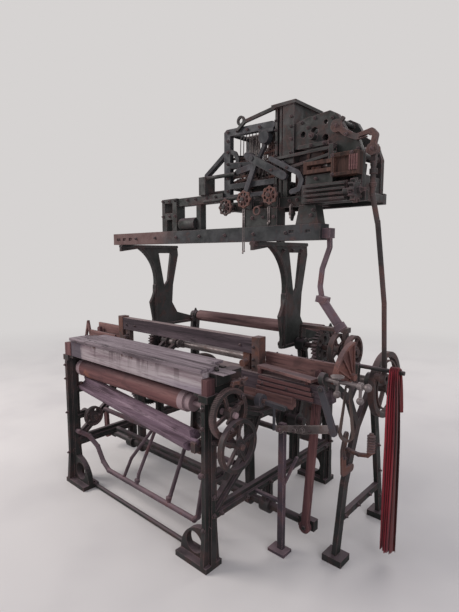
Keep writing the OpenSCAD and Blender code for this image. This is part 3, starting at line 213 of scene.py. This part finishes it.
def timber(name, light, middle, dark, edge, along="X", cracks=0.6, stains=0.5, dust=None, dusting=0.0, extra=None):
    g = Graph(name)
    grain = g.coords(GRAIN[along])
    streak = g.noise(1.3, 7.0, 0.62, grain, 0.25)
    fibre = g.noise(7.0, 4.0, 0.6, grain)
    stain = g.noise(6.5, 5.0, 0.6, twist=0.6)
    colour = g.mix(dark, middle, g.ramp(streak, 0.30, 0.50))
    colour = g.mix(colour, light, g.ramp(streak, 0.48, 0.66))
    colour = g.mix(colour, g.mix(colour, dark, 0.5), g.ramp(fibre, 0.52, 0.66))
    colour = g.mix(colour, dark, g.math("MULTIPLY", g.ramp(stain, 0.56, 0.70), stains))
    split = g.noise(2.1, 3.0, 0.5, grain)
    line = g.ramp(g.math("ABSOLUTE", g.math("SUBTRACT", split, 0.5)), 0.004, 0.016, 1.0, 0.0)
    line = g.math("MULTIPLY", line, g.ramp(stain, 0.42, 0.55, 0.2, cracks))
    colour = g.mix(colour, g.mix(dark, (0.004, 0.004, 0.004, 1), 0.6), line)
    if extra is not None:
        colour = extra(g, colour, stain)
    rounded = g.rounded(0.003)
    worn = g.math("MULTIPLY", g.edges(rounded), g.ramp(stain, 0.35, 0.6, 0.2, 0.9))
    colour = g.mix(colour, edge, worn)
    if dust is not None:
        colour = g.mix(colour, dust, g.math("MULTIPLY", g.facing_up(), g.ramp(stain, 0.3, 0.6, dusting * 0.5, dusting)))
    height = g.math("SUBTRACT", g.math("ADD", streak, g.math("MULTIPLY", fibre, 0.6)), g.math("MULTIPLY", line, 1.5))
    normal = g.bump(height, 0.45, 0.0016, rounded)
    return g.finish(colour, g.ramp(streak, 0.3, 0.7, 0.9, 0.7), normal, 0.0, 0.3)


DUST = tone(122, 108, 112)
DUST_DARK = tone(92, 80, 84)


def breast_marks(g, colour, stain):
    """A slate patch at the left end, stains that run down from the top edge, and a painted shade in mauve at the lower
    right, darkest at the bottom edge.
    """
    x = g.axis("X")
    z = g.axis("Z")
    ragged = g.math("MULTIPLY", g.math("SUBTRACT", stain, 0.5), 0.35)
    low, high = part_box("breast_board")
    patch = g.ramp(g.math("ADD", x, ragged), low.x + 0.17, low.x + 0.11, 0.0, 0.85)
    colour = g.mix(colour, tone(66, 58, 68), patch)
    run = g.noise(1.0, 5.0, 0.6, g.coords((26, 26, 3.2)))
    drip = g.math("MULTIPLY", g.ramp(run, 0.50, 0.62), g.ramp(z, low.z + 0.02, high.z, 0.12, 0.75))
    colour = g.mix(colour, tone(84, 70, 74), drip)
    edge_run = g.noise(13.0, 3.0, 0.5)
    blot = g.math("MULTIPLY", g.ramp(edge_run, 0.55, 0.62), g.ramp(z, high.z - 0.022, high.z - 0.006))
    colour = g.mix(colour, tone(78, 48, 44), blot)
    # Painted shade: a smooth mauve darkening towards the bottom edge that grows to the right
    painted_shade = g.math("MULTIPLY", g.ramp(x, 0.1, 0.5, 0.0, 0.55), g.ramp(z, low.z + 0.045, low.z + 0.01))
    return g.mix(colour, tone(112, 98, 116), painted_shade)


def gantry_rust(g, colour, cloud):
    """The beam's left end is rusted brown."""
    low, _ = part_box("gantry_beam")
    reach = g.math("ADD", g.axis("X"), g.math("MULTIPLY", g.math("SUBTRACT", cloud, 0.5), 0.5))
    return g.mix(colour, tone(96, 70, 68), g.ramp(reach, low.x + 0.62, low.x + 0.40, 0.0, 0.85))


# The take-up roller's ends and its orange patch, along X
BAND_LEFT = -0.512
BAND_RIGHT = 0.385
ROLLER_PATCH = -0.42


def roller_bands(g, colour, stain):
    """Pale bands at both ends of the take-up roller and one orange patch."""
    x = g.axis("X")
    left = g.ramp(x, BAND_LEFT + 0.036, BAND_LEFT + 0.032)
    band = g.math("MAXIMUM", left, g.ramp(x, BAND_RIGHT - 0.038, BAND_RIGHT - 0.034))
    colour = g.mix(colour, tone(150, 128, 132), g.math("MULTIPLY", band, g.ramp(stain, 0.3, 0.5, 0.6, 1.0)))
    near = g.math("ABSOLUTE", g.math("SUBTRACT", x, ROLLER_PATCH))
    spot = g.math("MULTIPLY", g.ramp(near, 0.07, 0.02), g.ramp(g.noise(9.0, 4.0), 0.46, 0.62, 0.0, 0.7))
    return g.mix(colour, tone(142, 92, 72), spot)


def make_finishes():
    dark = iron("iron_dark", tone(48, 45, 46), tone(23, 27, 25), tone(80, 57, 54), tone(124, 98, 100),
                tone(108, 92, 98), 0.48, 0.7)
    slate = iron("iron_slate", tone(62, 60, 66), tone(36, 38, 41), tone(80, 58, 54), tone(120, 104, 108),
                 DUST_DARK, 0.34, 0.6)
    rust = iron("iron_rust", tone(88, 64, 62), tone(52, 40, 38), tone(104, 66, 54), tone(136, 104, 102),
                DUST, 0.75, 0.5, 0.75, 0.0)
    steel = iron("steel_worn", tone(128, 118, 118), tone(84, 76, 76), tone(98, 68, 58), tone(190, 176, 172),
                 DUST, 0.35, 0.3, 0.42, 0.55)
    brown = timber("wood_brown", tone(132, 98, 94), tone(104, 74, 72), tone(58, 42, 42), tone(156, 124, 120),
                   dust=DUST, dusting=0.5)
    red = timber("wood_red", tone(116, 80, 78), tone(92, 61, 61), tone(50, 34, 36), tone(142, 108, 106),
                 dust=DUST, dusting=0.4)
    red_up = timber("wood_red_upright", tone(108, 72, 72), tone(84, 55, 57), tone(46, 31, 34), tone(134, 98, 98), "Z")
    tube = iron("iron_pink", tone(92, 74, 82), tone(60, 48, 54), tone(106, 70, 66), tone(158, 128, 130),
                tone(134, 112, 118), 0.4, 0.7, 0.7, 0.0)
    plate = iron("rusted_plate", tone(98, 64, 60), tone(74, 48, 46), tone(120, 78, 68), tone(148, 108, 102),
                 DUST, 0.8, 0.4, 0.8, 0.0)
    foot = iron("iron_foot", tone(76, 62, 72), tone(46, 40, 46), tone(98, 70, 70), tone(150, 124, 130),
                tone(130, 110, 116), 0.5, 0.8, 0.7, 0.0)
    pulley = iron("iron_pulley", tone(54, 44, 46), tone(24, 22, 22), tone(86, 60, 58), tone(160, 120, 122),
                  DUST, 0.4, 0.4, 0.7, 0.0)
    lag = timber("wood_lag", tone(96, 66, 56), tone(70, 47, 41), tone(34, 25, 22), tone(120, 88, 78), "Z", 0.7, 0.7)
    rusty = iron("iron_brown", tone(66, 53, 53), tone(40, 35, 35), tone(92, 64, 58), tone(138, 108, 106),
                 tone(112, 92, 94), 0.62, 0.6, 0.7, 0.0)
    beam = iron("iron_gantry", tone(46, 46, 50), tone(26, 29, 30), tone(92, 66, 62), tone(110, 92, 92),
                DUST_DARK, 0.3, 0.5, extra=gantry_rust)
    grey = timber("wood_grey", tone(158, 145, 150), tone(130, 116, 122), tone(58, 47, 52), tone(168, 154, 158),
                  "X", 0.9, 0.45)
    rail = timber("wood_dark_grey", tone(92, 78, 84), tone(68, 56, 62), tone(36, 30, 34), tone(150, 130, 128),
                  "X", 0.6, 0.4, tone(136, 118, 118), 0.9)
    finishes = {
        "iron_dark": dark,
        "iron_slate": slate,
        "iron_rust": rust,
        "steel_worn": steel,
        "wood_pale": timber("wood_pale", tone(176, 158, 164), tone(148, 128, 136), tone(84, 64, 68),
                            tone(186, 170, 172), "X", 0.5, 0.35),
        "wood_grey": grey,
        "wood_red": red,
        "wood_brown": brown,
        "leather": iron("leather", tone(70, 54, 50), tone(40, 32, 30), tone(84, 62, 54), tone(112, 90, 84),
                        DUST_DARK, 0.3, 0.4, 0.7, 0.0),
    }
    own = {
        "breast_board": timber("breast_board", tone(178, 168, 170), tone(158, 146, 149), tone(118, 100, 106),
                               tone(170, 158, 160), "X", 0.35, 0.25, extra=breast_marks),
        "take_up_roller": timber("take_up_roller", tone(124, 86, 84), tone(104, 68, 68), tone(66, 43, 46),
                                 tone(134, 100, 98), "X", 0.3, 0.45, DUST, 0.3, roller_bands),
        "cloth_roller": timber("cloth_roller", tone(140, 118, 130), tone(116, 95, 108), tone(66, 50, 58),
                               tone(156, 134, 142), "X", 0.5, 0.35),
        "back_rest": timber("back_rest", tone(132, 104, 102), tone(108, 82, 82), tone(58, 42, 44),
                            tone(150, 120, 118), "X", 0.4, 0.35),
        "wrapped_tube": tube,
        "front_rail": tube,
        "guide_pulley": pulley,
        "fan_plate": plate,
        "floor_post": foot,
        "lag_box": lag,
        "gantry_beam": beam,
        "outrigger_stand": dark,
        "drive_wheel": rusty,
        "take_up_wheel": rusty,
        "counter_shaft": rusty,
        "crank_arms": rusty,
        "hook_bank": rusty,
        "connecting_rod": rusty,
        "warp_beam": rusty,
        "frame_brackets": rusty,
        "gooseneck": rusty,
        "hand_rail": rail,
        "lay_beam": rail,
        "picking_stick_right": red_up,
        "picking_stick_left": red_up,
        "end_blocks": red_up,
    }
    for part in frame["record"]["subparts"]:
        node = nodes[part["node"]]
        node.data.materials.clear()
        node.data.materials.append(own.get(part["node"], finishes.get(part["material_slot"], rust)))
    return finishes


SPRING_STEPS = 8
SHARP = math.radians(35)


class Pile:
    """Small solid pieces gathered into one mesh that rides on one body."""

    def __init__(self):
        self.mesh = bmesh.new()

    def frame_at(self, centre, axis, turn=0.0):
        """A matrix that puts Z along axis at centre, turned about it."""
        spin = Vector(axis).to_track_quat("Z", "Y").to_matrix().to_4x4()
        return Matrix.Translation(centre) @ spin @ Matrix.Rotation(math.radians(turn), 4, "Z")

    def prism(self, centre, axis, radius, length, sides=6, turn=0.0, tip=None):
        """A straight prism or cone about its centre, from radius to tip."""
        bmesh.ops.create_cone(self.mesh, cap_ends=True, segments=sides, radius1=radius,
                              radius2=radius if tip is None else tip, depth=length,
                              matrix=self.frame_at(centre, axis, turn))

    def block(self, centre, size, turn=0.0):
        """A box about its centre, turned about Y."""
        spin = Matrix.Rotation(math.radians(turn), 4, "Y")
        shape = Matrix.Translation(centre) @ spin @ Matrix.Diagonal((*size, 1))
        bmesh.ops.create_cube(self.mesh, size=1, matrix=shape)

    def bar(self, start, end, width, thick, side=(0, 1, 0)):
        """A flat bar between two points: thick lies along side, width across it."""
        start, end, side = Vector(start), Vector(end), Vector(side)
        along = (end - start).normalized()
        across = side.cross(along).normalized()
        side = along.cross(across).normalized()
        shape = Matrix.Identity(4)
        for column, vector in enumerate((along * (end - start).length, across * width, side * thick)):
            for row in range(3):
                shape[row][column] = vector[row]
        bmesh.ops.create_cube(self.mesh, size=1, matrix=Matrix.Translation((start + end) / 2) @ shape)

    def tube(self, points, radius, sides=10):
        """A round bar swept along points, with closed ends."""
        points = [Vector(p) for p in points]
        side = Vector((0, 0, 1)).cross(points[1] - points[0])
        if side.length < 1e-6:
            side = Vector((1, 0, 0))
        rings = []
        for i, point in enumerate(points):
            along = (points[min(i + 1, len(points) - 1)] - points[max(i - 1, 0)]).normalized()
            side = (side - along * side.dot(along)).normalized()
            other = along.cross(side)
            rings.append([self.mesh.verts.new(point + radius * (side * math.cos(t) + other * math.sin(t)))
                          for t in (2 * math.pi * k / sides for k in range(sides))])
        for first, second in zip(rings, rings[1:]):
            for k in range(sides):
                n = (k + 1) % sides
                self.mesh.faces.new((first[k], first[n], second[n], second[k]))
        self.mesh.faces.new(rings[0][::-1])
        self.mesh.faces.new(rings[-1])

    def spring(self, start, end, radius, wire, turns):
        """A coil spring between two points with a straight tail at each end."""
        start, end = Vector(start), Vector(end)
        to_frame = self.frame_at(start, end - start)
        length = (end - start).length
        points = [to_frame @ Vector((0, 0, 0)), to_frame @ Vector((0, 0, length * 0.06))]
        count = turns * SPRING_STEPS
        for i in range(count + 1):
            t = 2 * math.pi * i / SPRING_STEPS
            rise = length * (0.1 + 0.8 * i / count)
            points.append(to_frame @ Vector((radius * math.cos(t), radius * math.sin(t), rise)))
        points += [to_frame @ Vector((0, 0, length * 0.94)), to_frame @ Vector((0, 0, length))]
        self.tube(points, wire, 7)

    def bolt(self, place, axis, size=0.011, height=0.009, stud=True):
        """A washer, a six-sided nut and the end of its stud, standing on a face at place."""
        axis = Vector(axis).normalized()
        place = Vector(place)
        turn = 17 * (place.x * 31 + place.z * 57)
        self.prism(place + axis * 0.001, axis, size * 1.25, 0.002, 20)
        self.prism(place + axis * (0.002 + height / 2), axis, size, height, 6, turn)
        if stud:
            self.prism(place + axis * (0.004 + height), axis, size * 0.52, 0.008, 12)

    def done(self, name, body, finish, slot, bevel=0.0008, smooth=False):
        bmesh.ops.recalc_face_normals(self.mesh, faces=self.mesh.faces)
        data = bpy.data.meshes.new(name)
        self.mesh.to_mesh(data)
        self.mesh.free()
        piece = bpy.data.objects.new(name, data)
        bpy.context.scene.collection.objects.link(piece)
        data.materials.append(finish)
        for face in data.polygons:
            face.use_smooth = True
        if bevel:
            rounding = piece.modifiers.new("bevel", "BEVEL")
            rounding.width = bevel
            rounding.segments = 1
            rounding.limit_method = "ANGLE"
            rounding.angle_limit = SHARP
        if not smooth:
            split = piece.modifiers.new("edges", "EDGE_SPLIT")
            split.split_angle = SHARP
        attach(piece, body)


# Red cloth: one long strip bunched over the peg, its folds falling in ridges
CLOTH_PEG = Vector((1.099, 0.030, 0.838))
PEG_RADIUS = 0.009
CLOTH_CLEAR = 0.008
CLOTH_BACK = 0.17
CLOTH_THICK = 0.0012
CLOTH_SEED = 7
CLOTH_FOLDS = 5
CLOTH_ACROSS = 150
CLOTH_DOWN = 120


def make_cloth():
    low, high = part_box("red_cloth")
    middle = (low + high) / 2
    top_out = PEG_RADIUS + CLOTH_CLEAR
    back_reach = CLOTH_BACK
    front_reach = CLOTH_PEG.z - low.z - 0.004
    arc = math.pi * top_out
    total = back_reach + arc + front_reach
    rng = random.Random(CLOTH_SEED)
    waves = [(rng.uniform(2.0, 5.0), rng.uniform(0, 6.28), rng.uniform(0.4, 1.0)) for _ in range(5)]
    points = []
    for j in range(CLOTH_DOWN + 1):
        v = total * j / CLOTH_DOWN
        if v < back_reach:
            centre = Vector((CLOTH_PEG.x, CLOTH_PEG.y + top_out, CLOTH_PEG.z - back_reach + v))
            out = Vector((0, 1, 0))
            fall = back_reach - v
        elif v < back_reach + arc:
            t = (v - back_reach) / top_out
            out = Vector((0, math.cos(t), math.sin(t)))
            centre = CLOTH_PEG + out * top_out
            fall = 0.0
        else:
            fall = v - back_reach - arc
            drift = 0.012 * min(1.0, fall / 0.3)
            centre = Vector((CLOTH_PEG.x, CLOTH_PEG.y - top_out + drift, CLOTH_PEG.z - fall))
            out = Vector((0, -1, 0))
        opened = 1 - math.exp(-fall / 0.12)
        front = v > back_reach + arc
        depth = 0.0045 + (0.022 if front else 0.008) * opened
        half = 0.020 + 0.007 * opened
        sway = 0.003 * math.sin(4.2 * fall + 0.6) * opened
        for i in range(CLOTH_ACROSS + 1):
            u = i / CLOTH_ACROSS
            shift = sum(a * 0.010 * math.sin(f * fall * 2 + p + 5 * u) for f, p, a in waves[:3]) * opened
            phase = 2 * math.pi * CLOTH_FOLDS * (u + shift)
            crease = math.sin(phase) + 0.22 * math.sin(2 * phase + 1.3 + 3 * fall)
            size = depth * (0.78 + 0.22 * math.sin(9.0 * u + 2.6 * fall + 1.0))
            across = (u - 0.5) * 2 * half + 0.006 * opened * math.cos(phase + 0.6 * math.sin(5 * fall + 4 * u))
            ragged = 0.0
            if j == CLOTH_DOWN:
                ragged = 0.010 * (0.5 + 0.5 * math.sin(11 * u + 1.0)) + 0.003 * rng.random()
            place = centre + out * (size * crease) + Vector((across + sway, 0, 0))
            points.append(place + Vector((0, 0, ragged)))
    row = CLOTH_ACROSS + 1
    faces = [(j * row + i, j * row + i + 1, (j + 1) * row + i + 1, (j + 1) * row + i)
             for j in range(CLOTH_DOWN) for i in range(CLOTH_ACROSS)]
    data = bpy.data.meshes.new("red_cloth_sheet")
    data.from_pydata(points, [], faces)
    cloth = bpy.data.objects.new("red_cloth_sheet", data)
    bpy.context.scene.collection.objects.link(cloth)
    for face in data.polygons:
        face.use_smooth = True
    thick = cloth.modifiers.new("thickness", "SOLIDIFY")
    thick.thickness = CLOTH_THICK
    thick.offset = 0
    data.materials.append(cloth_finish(middle.x))
    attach(cloth, "root")
    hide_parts("red_cloth")


def cloth_finish(middle_x):
    g = Graph("red_fabric")
    streak = g.noise(1.0, 4.0, 0.55, g.coords((30, 30, 2.0)))
    stain = g.noise(8.0, 4.0)
    thread = g.noise(1.0, 2.0, 0.5, g.coords((900, 900, 160)))
    colour = g.mix(tone(92, 26, 34), tone(150, 42, 54), g.ramp(streak, 0.40, 0.60))
    colour = g.mix(colour, tone(70, 36, 36), g.ramp(stain, 0.56, 0.72, 0.0, 0.6))
    brown = g.ramp(g.axis("X"), middle_x + 0.004, middle_x + 0.022, 0.0, 0.75)
    colour = g.mix(colour, tone(74, 42, 38), brown)
    colour = g.mix(colour, tone(150, 92, 92), g.ramp(thread, 0.62, 0.8, 0.0, 0.35))
    g.shader.inputs["Sheen Weight"].default_value = 0.25
    g.shader.inputs["Sheen Roughness"].default_value = 0.5
    return g.finish(colour, 0.92, g.bump(thread, 0.5, 0.0005), 0.0, 0.2)


# Small fittings. Places are written in millimetres in the part's frame
BODY_OF = {node: body for body, names in frame["record"]["behaviour"]["bodies"].items() for node in names}
NUT_SCALE = 0.78


def at(x, y, z):
    return Vector((x, y, z)) / 1000


class Fasteners:
    """Nuts, screw heads and oil cups, each set down on the surface that a ray meets."""

    def __init__(self):
        self.piles = {}
        self.graph = bpy.context.evaluated_depsgraph_get()

    def surface(self, start, aim, reach=0.25):
        hit, place, normal, _, seen, _ = bpy.context.scene.ray_cast(self.graph, start, Vector(aim), distance=reach)
        if not hit or seen.name not in BODY_OF:
            return None
        return place, normal, self.piles.setdefault(BODY_OF[seen.name], Pile())

    def nut(self, start, aim, size=0.011, height=0.009, stud=True):
        found = self.surface(start, aim)
        if found is not None and found[1].dot(Vector(aim)) < -0.8:
            found[2].bolt(found[0], -Vector(aim), size * NUT_SCALE, height * NUT_SCALE, stud)

    def cup(self, start):
        found = self.surface(start, (0, 0, -1), 0.12)
        if found is not None:
            found[2].prism(found[0] + Vector((0, 0, 0.004)), (0, 0, 1), 0.009, 0.010, 12)
            found[2].prism(found[0] + Vector((0, 0, 0.013)), (0, 0, 1), 0.007, 0.008, 12, tip=0.005)

    def done(self, finish):
        for body, pile in self.piles.items():
            pile.done("fittings_" + body, body, finish, "iron_dark")


# Nuts on the head's front, as x and z
HEAD_NUTS = ((390, 1886), (450, 1883), (520, 1881), (740, 1856), (800, 1864), (880, 1850), (905, 1812),
             (950, 1772), (990, 1716), (770, 1832), (800, 1790), (790, 1758), (850, 1758), (1052, 1704), (911, 1624),
             (911, 1695), (990, 1695), (830, 1620), (-72, 1524), (-28, 1524), (-124, 1524), (-72, 1604), (-124, 1604),
             (-28, 1604), (60, 1600), (120, 1600), (200, 1600), (260, 1600), (500, 1484), (560, 1484), (620, 1484),
             (805, 1480), (815, 1500))


def make_fasteners(finish):
    f = Fasteners()
    # Outer faces of both side frames
    for side in (1, -1):
        aim = (-side, 0, 0)
        for y, z in ((-515, 700), (-515, 640), (-515, 240), (-515, 560), (-515, 320), (460, 800), (460, 600),
                     (460, 250), (-470, 235), (-300, 235), (-120, 235), (60, 235), (240, 235), (400, 235), (-400, 740),
                     (-250, 735), (-60, 735), (60, 735), (330, 735), (420, 735), (-200, 590), (140, 590), (330, 590)):
            f.nut(at(side * 700, y, z), aim, 0.012, 0.010)
    # Faces seen from the weaver's side
    for x in (-552, 552):
        for z in (180, 420, 620, 700):
            f.nut(at(x, -640, z), (0, 1, 0), 0.010, 0.008)
    for x in range(-540, 860, 175):
        f.nut(at(x, -260, 1412), (0, 1, 0), 0.009, 0.007)
    for x in (-395, 395):
        for z in (1060, 1130, 1200, 1270, 1340):
            f.nut(at(x, -300, z), (0, 1, 0), 0.009, 0.007)
    for side in (1, -1):
        for y, z in ((250, 1010), (300, 970), (360, 930), (40, 1340), (120, 1340), (200, 1340)):
            f.nut(at(side * 640, y, z), (-side, 0, 0), 0.011, 0.009)
    # Hand rail, its posts, the lay beam and the shuttle boxes
    for x in (-505, -420, 420, 505):
        for z in (890, 830, 800):
            f.nut(at(x, -300, z), (0, 1, 0), 0.008, 0.006)
    for x in range(-850, 900, 130):
        f.nut(at(x, -300, 738), (0, 1, 0), 0.007, 0.005, False)
    for x in (600, 680, 760, 840):
        f.nut(at(x, -110, 990), (0, 0, -1), 0.006, 0.003, False)
    # Head: sills, window, tower, casting and boxes
    for x in (310, 416, 536, 684, 724, 1000):
        f.nut(at(x, -260, 1550), (0, 1, 0), 0.008, 0.007)
        f.nut(at(x, 160, 1550), (0, -1, 0), 0.008, 0.007)
    for z in (1620, 1680, 1745, 1800, 1850, 1890):
        f.nut(at(332, -260, z), (0, 1, 0), 0.008, 0.006)
        f.nut(at(610, -260, z), (0, 1, 0), 0.006, 0.006)
        f.nut(at(692, -260, z), (0, 1, 0), 0.007, 0.006)
    for x, z in HEAD_NUTS:
        f.nut(at(x, -300, z), (0, 1, 0), 0.008, 0.006)
    # Outboard stand, floor post, link and gear ends
    for y, z in ((-180, 120), (-180, 260), (-176, 360), (-110, 470), (-40, 600), (60, 640), (310, 120), (290, 260),
                 (262, 400), (235, 560), (-60, 180), (60, 180), (180, 180), (-64, 700), (-120, 745)):
        f.nut(at(1010, y, z), (-1, 0, 0), 0.010, 0.008)
    for x in (720, 800, 870, 960):
        f.nut(at(x, -320, 574 + (x - 722) * 0.22), (0, 1, 0), 0.008, 0.006)
    # Oil cups over the bearings
    for x, y in ((552, 200), (-552, 200), (660, 175), (552, -465), (-552, -465), (930, 200), (552, 470), (-552, 470),
                 (552, 120), (-552, 120)):
        f.cup(at(x, y, 960))
    f.done(finish)


HEAD_SEED = 21
WIRE_PITCH = 18.5
WIRE_FRONT = -96
WIRE_REAR = -18
SPRING_LOW = -58
SPRING_HIGH = -36
RING = (544, -200, 1512)
RING_RADIUS = 17
POST_EDGE = 340
RIB_PITCH = 9


def make_head_fittings(finish, dark, worn, timber_finish):
    rng = random.Random(HEAD_SEED)
    rods = Pile()
    # Upright wires and springs inside the window
    for i in range(13):
        x = 362 + WIRE_PITCH * i
        for y in (WIRE_FRONT, WIRE_REAR):
            rods.tube([at(x, y, 1596), at(x + rng.uniform(-3, 3), y, 1740), at(x + rng.uniform(-2, 2), y, 1886)],
                      0.0022, 6)
        if i % 2:
            rods.spring(at(x, SPRING_LOW, 1604), at(x, SPRING_LOW, 1662), 0.0055, 0.0012, 9)
            rods.spring(at(x, SPRING_HIGH, 1828), at(x, SPRING_HIGH, 1884), 0.0055, 0.0012, 9)
    for y, z, radius in ((SPRING_LOW, 1603, 0.005), (SPRING_HIGH, 1885, 0.005), (WIRE_FRONT, 1596, 0.006),
                         (WIRE_REAR, 1596, 0.006), (WIRE_FRONT, 1887, 0.006), (WIRE_REAR, 1887, 0.006)):
        rods.tube([at(352, y, z), at(602, y, z)], radius)
    # Wires, springs and cross bars of the right casting
    for i in range(9):
        x = 752 + 26 * i
        rods.tube([at(x, -30, 1600), at(x + rng.uniform(-4, 4), -30, 1690), at(x, -30, 1742)], 0.0024, 6)
        rods.spring(at(x + 10, -108, 1604), at(x + 10, -108, 1668), 0.006, 0.0013, 10)
    rods.tube([at(740, -30, 1741), at(975, -30, 1741)], 0.006)
    rods.tube([at(740, -108, 1603), at(985, -108, 1603)], 0.006)
    # Thin rods that hang under the head
    for x, low in ((446, 1330), (455, 1338), (590, 1455), (598, 1462), (706, 1478)):
        rods.tube([at(x, -150, 1531), at(x, -172, 1531), at(x, -178.5, 1525), at(x, -178.5, low)], 0.0027, 7)
        rods.prism(at(x, -178.5, low), (0, 0, 1), 0.0036, 0.012, 8)
    # Small ring between the first two star wheels
    x, y, z = RING
    ring = [at(x + RING_RADIUS * math.cos(t), y, z + RING_RADIUS * math.sin(t))
            for t in (math.pi * k / 10 for k in range(21))]
    rods.done("head_wires", "root", worn, "steel_worn", 0, True)
    eye = Pile()
    eye.tube(ring, 0.004, 8)
    eye.tube([at(x, y, z + RING_RADIUS), at(x, -176, 1536), at(x, -152, 1540)], 0.004, 8)
    eye.done("head_eye", "root", finish, "iron_rust", 0, True)
    hooks = Pile()
    for i in range(17):
        x = 364 + 14 * i
        hooks.bar(at(x, -6, 1612), at(x + 2 * (i % 3), -6, 1884), 0.0075, 0.003)
        if i % 2:
            hooks.bar(at(x + 5, -110, 1640), at(x + 8, -110, 1736), 0.006, 0.003)
    for z in (1614, 1700, 1880):
        hooks.bar(at(354, -6, z), at(604, -6, z), 0.012, 0.008)
    hooks.bar(at(354, -110, 1641), at(604, -110, 1641), 0.010, 0.006)
    hooks.bar(at(354, -110, 1734), at(604, -110, 1734), 0.010, 0.006)
    hooks.done("head_hooks", "root", dark, "iron_dark")

    levers = Pile()
    for i in range(7):
        z = 1640 + 22 * i
        end = 468 + 5 * (i % 3) + 10 * (i % 2)
        levers.bar(at(POST_EDGE, -126, z), at(end, -126, z + rng.uniform(-14, 16)), 0.011, 0.005)
        levers.bar(at(596, -120, z + 8), at(520 + 8 * (i % 3), -120, z + rng.uniform(-10, 18)), 0.010, 0.005)
    for i in range(6):
        x = 740 + 34 * i
        levers.bar(at(x, -126 + 5 * (i % 2), 1655), at(x + 26, -126 + 5 * (i % 2), 1752), 0.012, 0.005)
    for z in (1630, 1672, 1716):
        levers.bar(at(728, -118, z), at(972, -118, z + 5), 0.012, 0.006)
    for x, z, turn in ((392, 1700, 20), (470, 1660, -15), (540, 1840, 30), (580, 1690, 10), (770, 1640, 12),
                       (846, 1640, -8), (915, 1640, 5)):
        levers.block(at(x, -112, z), (0.036, 0.018, 0.022), turn)
    levers.done("head_levers", "root", finish, "iron_rust")

    heavy = Pile()
    for z in (1700, 1770):
        heavy.block(at(395, -70, z), (0.060, 0.090, 0.026), 8)
        heavy.block(at(560, -70, z + 14), (0.056, 0.090, 0.030), -6)
    heavy.block(at(480, -60, 1620), (0.200, 0.110, 0.022))
    heavy.block(at(850, -60, 1632), (0.220, 0.110, 0.020))
    for x in (790, 870, 950):
        heavy.block(at(x, -62, 1650), (0.022, 0.100, 0.070), 5)
    heavy.done("head_blocks", "root", dark, "iron_dark")

    # Ribs of the wooden box
    ribs = Pile()
    low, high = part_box("lag_box")
    for k in range(4):
        place = at(high.x * 1000 - 30.5 + RIB_PITCH * k, low.y * 1000 + 1, 1660)
        ribs.block(place, (0.006, 0.010, 0.056))
    ribs.done("lag_ribs", "root", timber_finish, "wood_red")


# Studio: plain pale floor, a soft key from the window's side, a weak fill and a pale surround
FLOOR_SIZE = 60
FLOOR_FADE = (1.6, 6.5)
FLOOR_TONE = tone(220, 215, 213)
SKY_TONE = tone(214, 211, 210)


def make_studio():
    bpy.ops.mesh.primitive_plane_add(size=FLOOR_SIZE, location=(0, 0, cad_low.z))
    floor = bpy.context.object
    floor.name = "floor"
    g = Graph("floor")
    cloud = g.noise(1.2, 3.0)
    speck = g.noise(90.0, 2.0)
    colour = g.mix(FLOOR_TONE, tone(210, 205, 204), g.ramp(cloud, 0.4, 0.7))
    g.finish(colour, 0.85, g.bump(speck, 0.1, 0.001), 0.0, 0.2)
    far = g.add("ShaderNodeVectorMath", {0: g.place.outputs["Object"]}, operation="LENGTH")
    glow = g.add("ShaderNodeEmission", {"Color": SKY_TONE})
    blend = g.add("ShaderNodeMixShader", {0: g.ramp(far.outputs["Value"], FLOOR_FADE[0], FLOOR_FADE[1])})
    g.tree.links.new(g.shader.outputs[0], blend.inputs[1])
    g.tree.links.new(glow.outputs[0], blend.inputs[2])
    g.tree.links.new(blend.outputs[0], g.tree.nodes["Material Output"].inputs["Surface"])
    floor.data.materials.append(g.material)

    world = bpy.data.worlds.new("surround")
    bpy.context.scene.world = world
    world.use_nodes = True
    tree = world.node_tree
    plain = tree.nodes["Background"]
    plain.inputs["Color"].default_value = tone(214, 216, 224)
    plain.inputs["Strength"].default_value = 0.62
    shown = tree.nodes.new("ShaderNodeBackground")
    shown.inputs["Color"].default_value = SKY_TONE
    path = tree.nodes.new("ShaderNodeLightPath")
    either = tree.nodes.new("ShaderNodeMath")
    either.operation = "MAXIMUM"
    tree.links.new(path.outputs["Is Camera Ray"], either.inputs[0])
    tree.links.new(path.outputs["Is Glossy Ray"], either.inputs[1])
    mix = tree.nodes.new("ShaderNodeMixShader")
    tree.links.new(either.outputs[0], mix.inputs[0])
    tree.links.new(plain.outputs[0], mix.inputs[1])
    tree.links.new(shown.outputs[0], mix.inputs[2])
    tree.links.new(mix.outputs[0], tree.nodes["World Output"].inputs["Surface"])

    lamp("key", (-3.4, -3.2, 3.6), (0.0, 0.0, 0.8), 2.6, 190, (1.0, 0.96, 0.92))
    lamp("fill", (4.2, -1.8, 2.4), (0.3, 0.0, 0.7), 3.0, 55, (0.95, 0.95, 1.0))
    lamp("back", (0.5, 4.2, 3.4), (0.0, 0.0, 1.0), 3.0, 70, (1.0, 0.98, 0.96))


def lamp(name, place, aim, size, watts, colour):
    data = bpy.data.lights.new(name, "AREA")
    data.size = size
    data.energy = watts
    data.color = colour
    lamp_object = bpy.data.objects.new(name, data)
    bpy.context.scene.collection.objects.link(lamp_object)
    lamp_object.location = place
    lamp_object.rotation_euler = (Vector(aim) - Vector(place)).to_track_quat("-Z", "Y").to_euler()


make_camera()
finishes = make_finishes()
make_fasteners(finishes["iron_dark"])
make_head_fittings(finishes["iron_rust"], finishes["iron_dark"], finishes["steel_worn"], finishes["wood_red"])
make_cloth()
make_studio()
bpy.context.scene.view_settings.view_transform = "Standard"
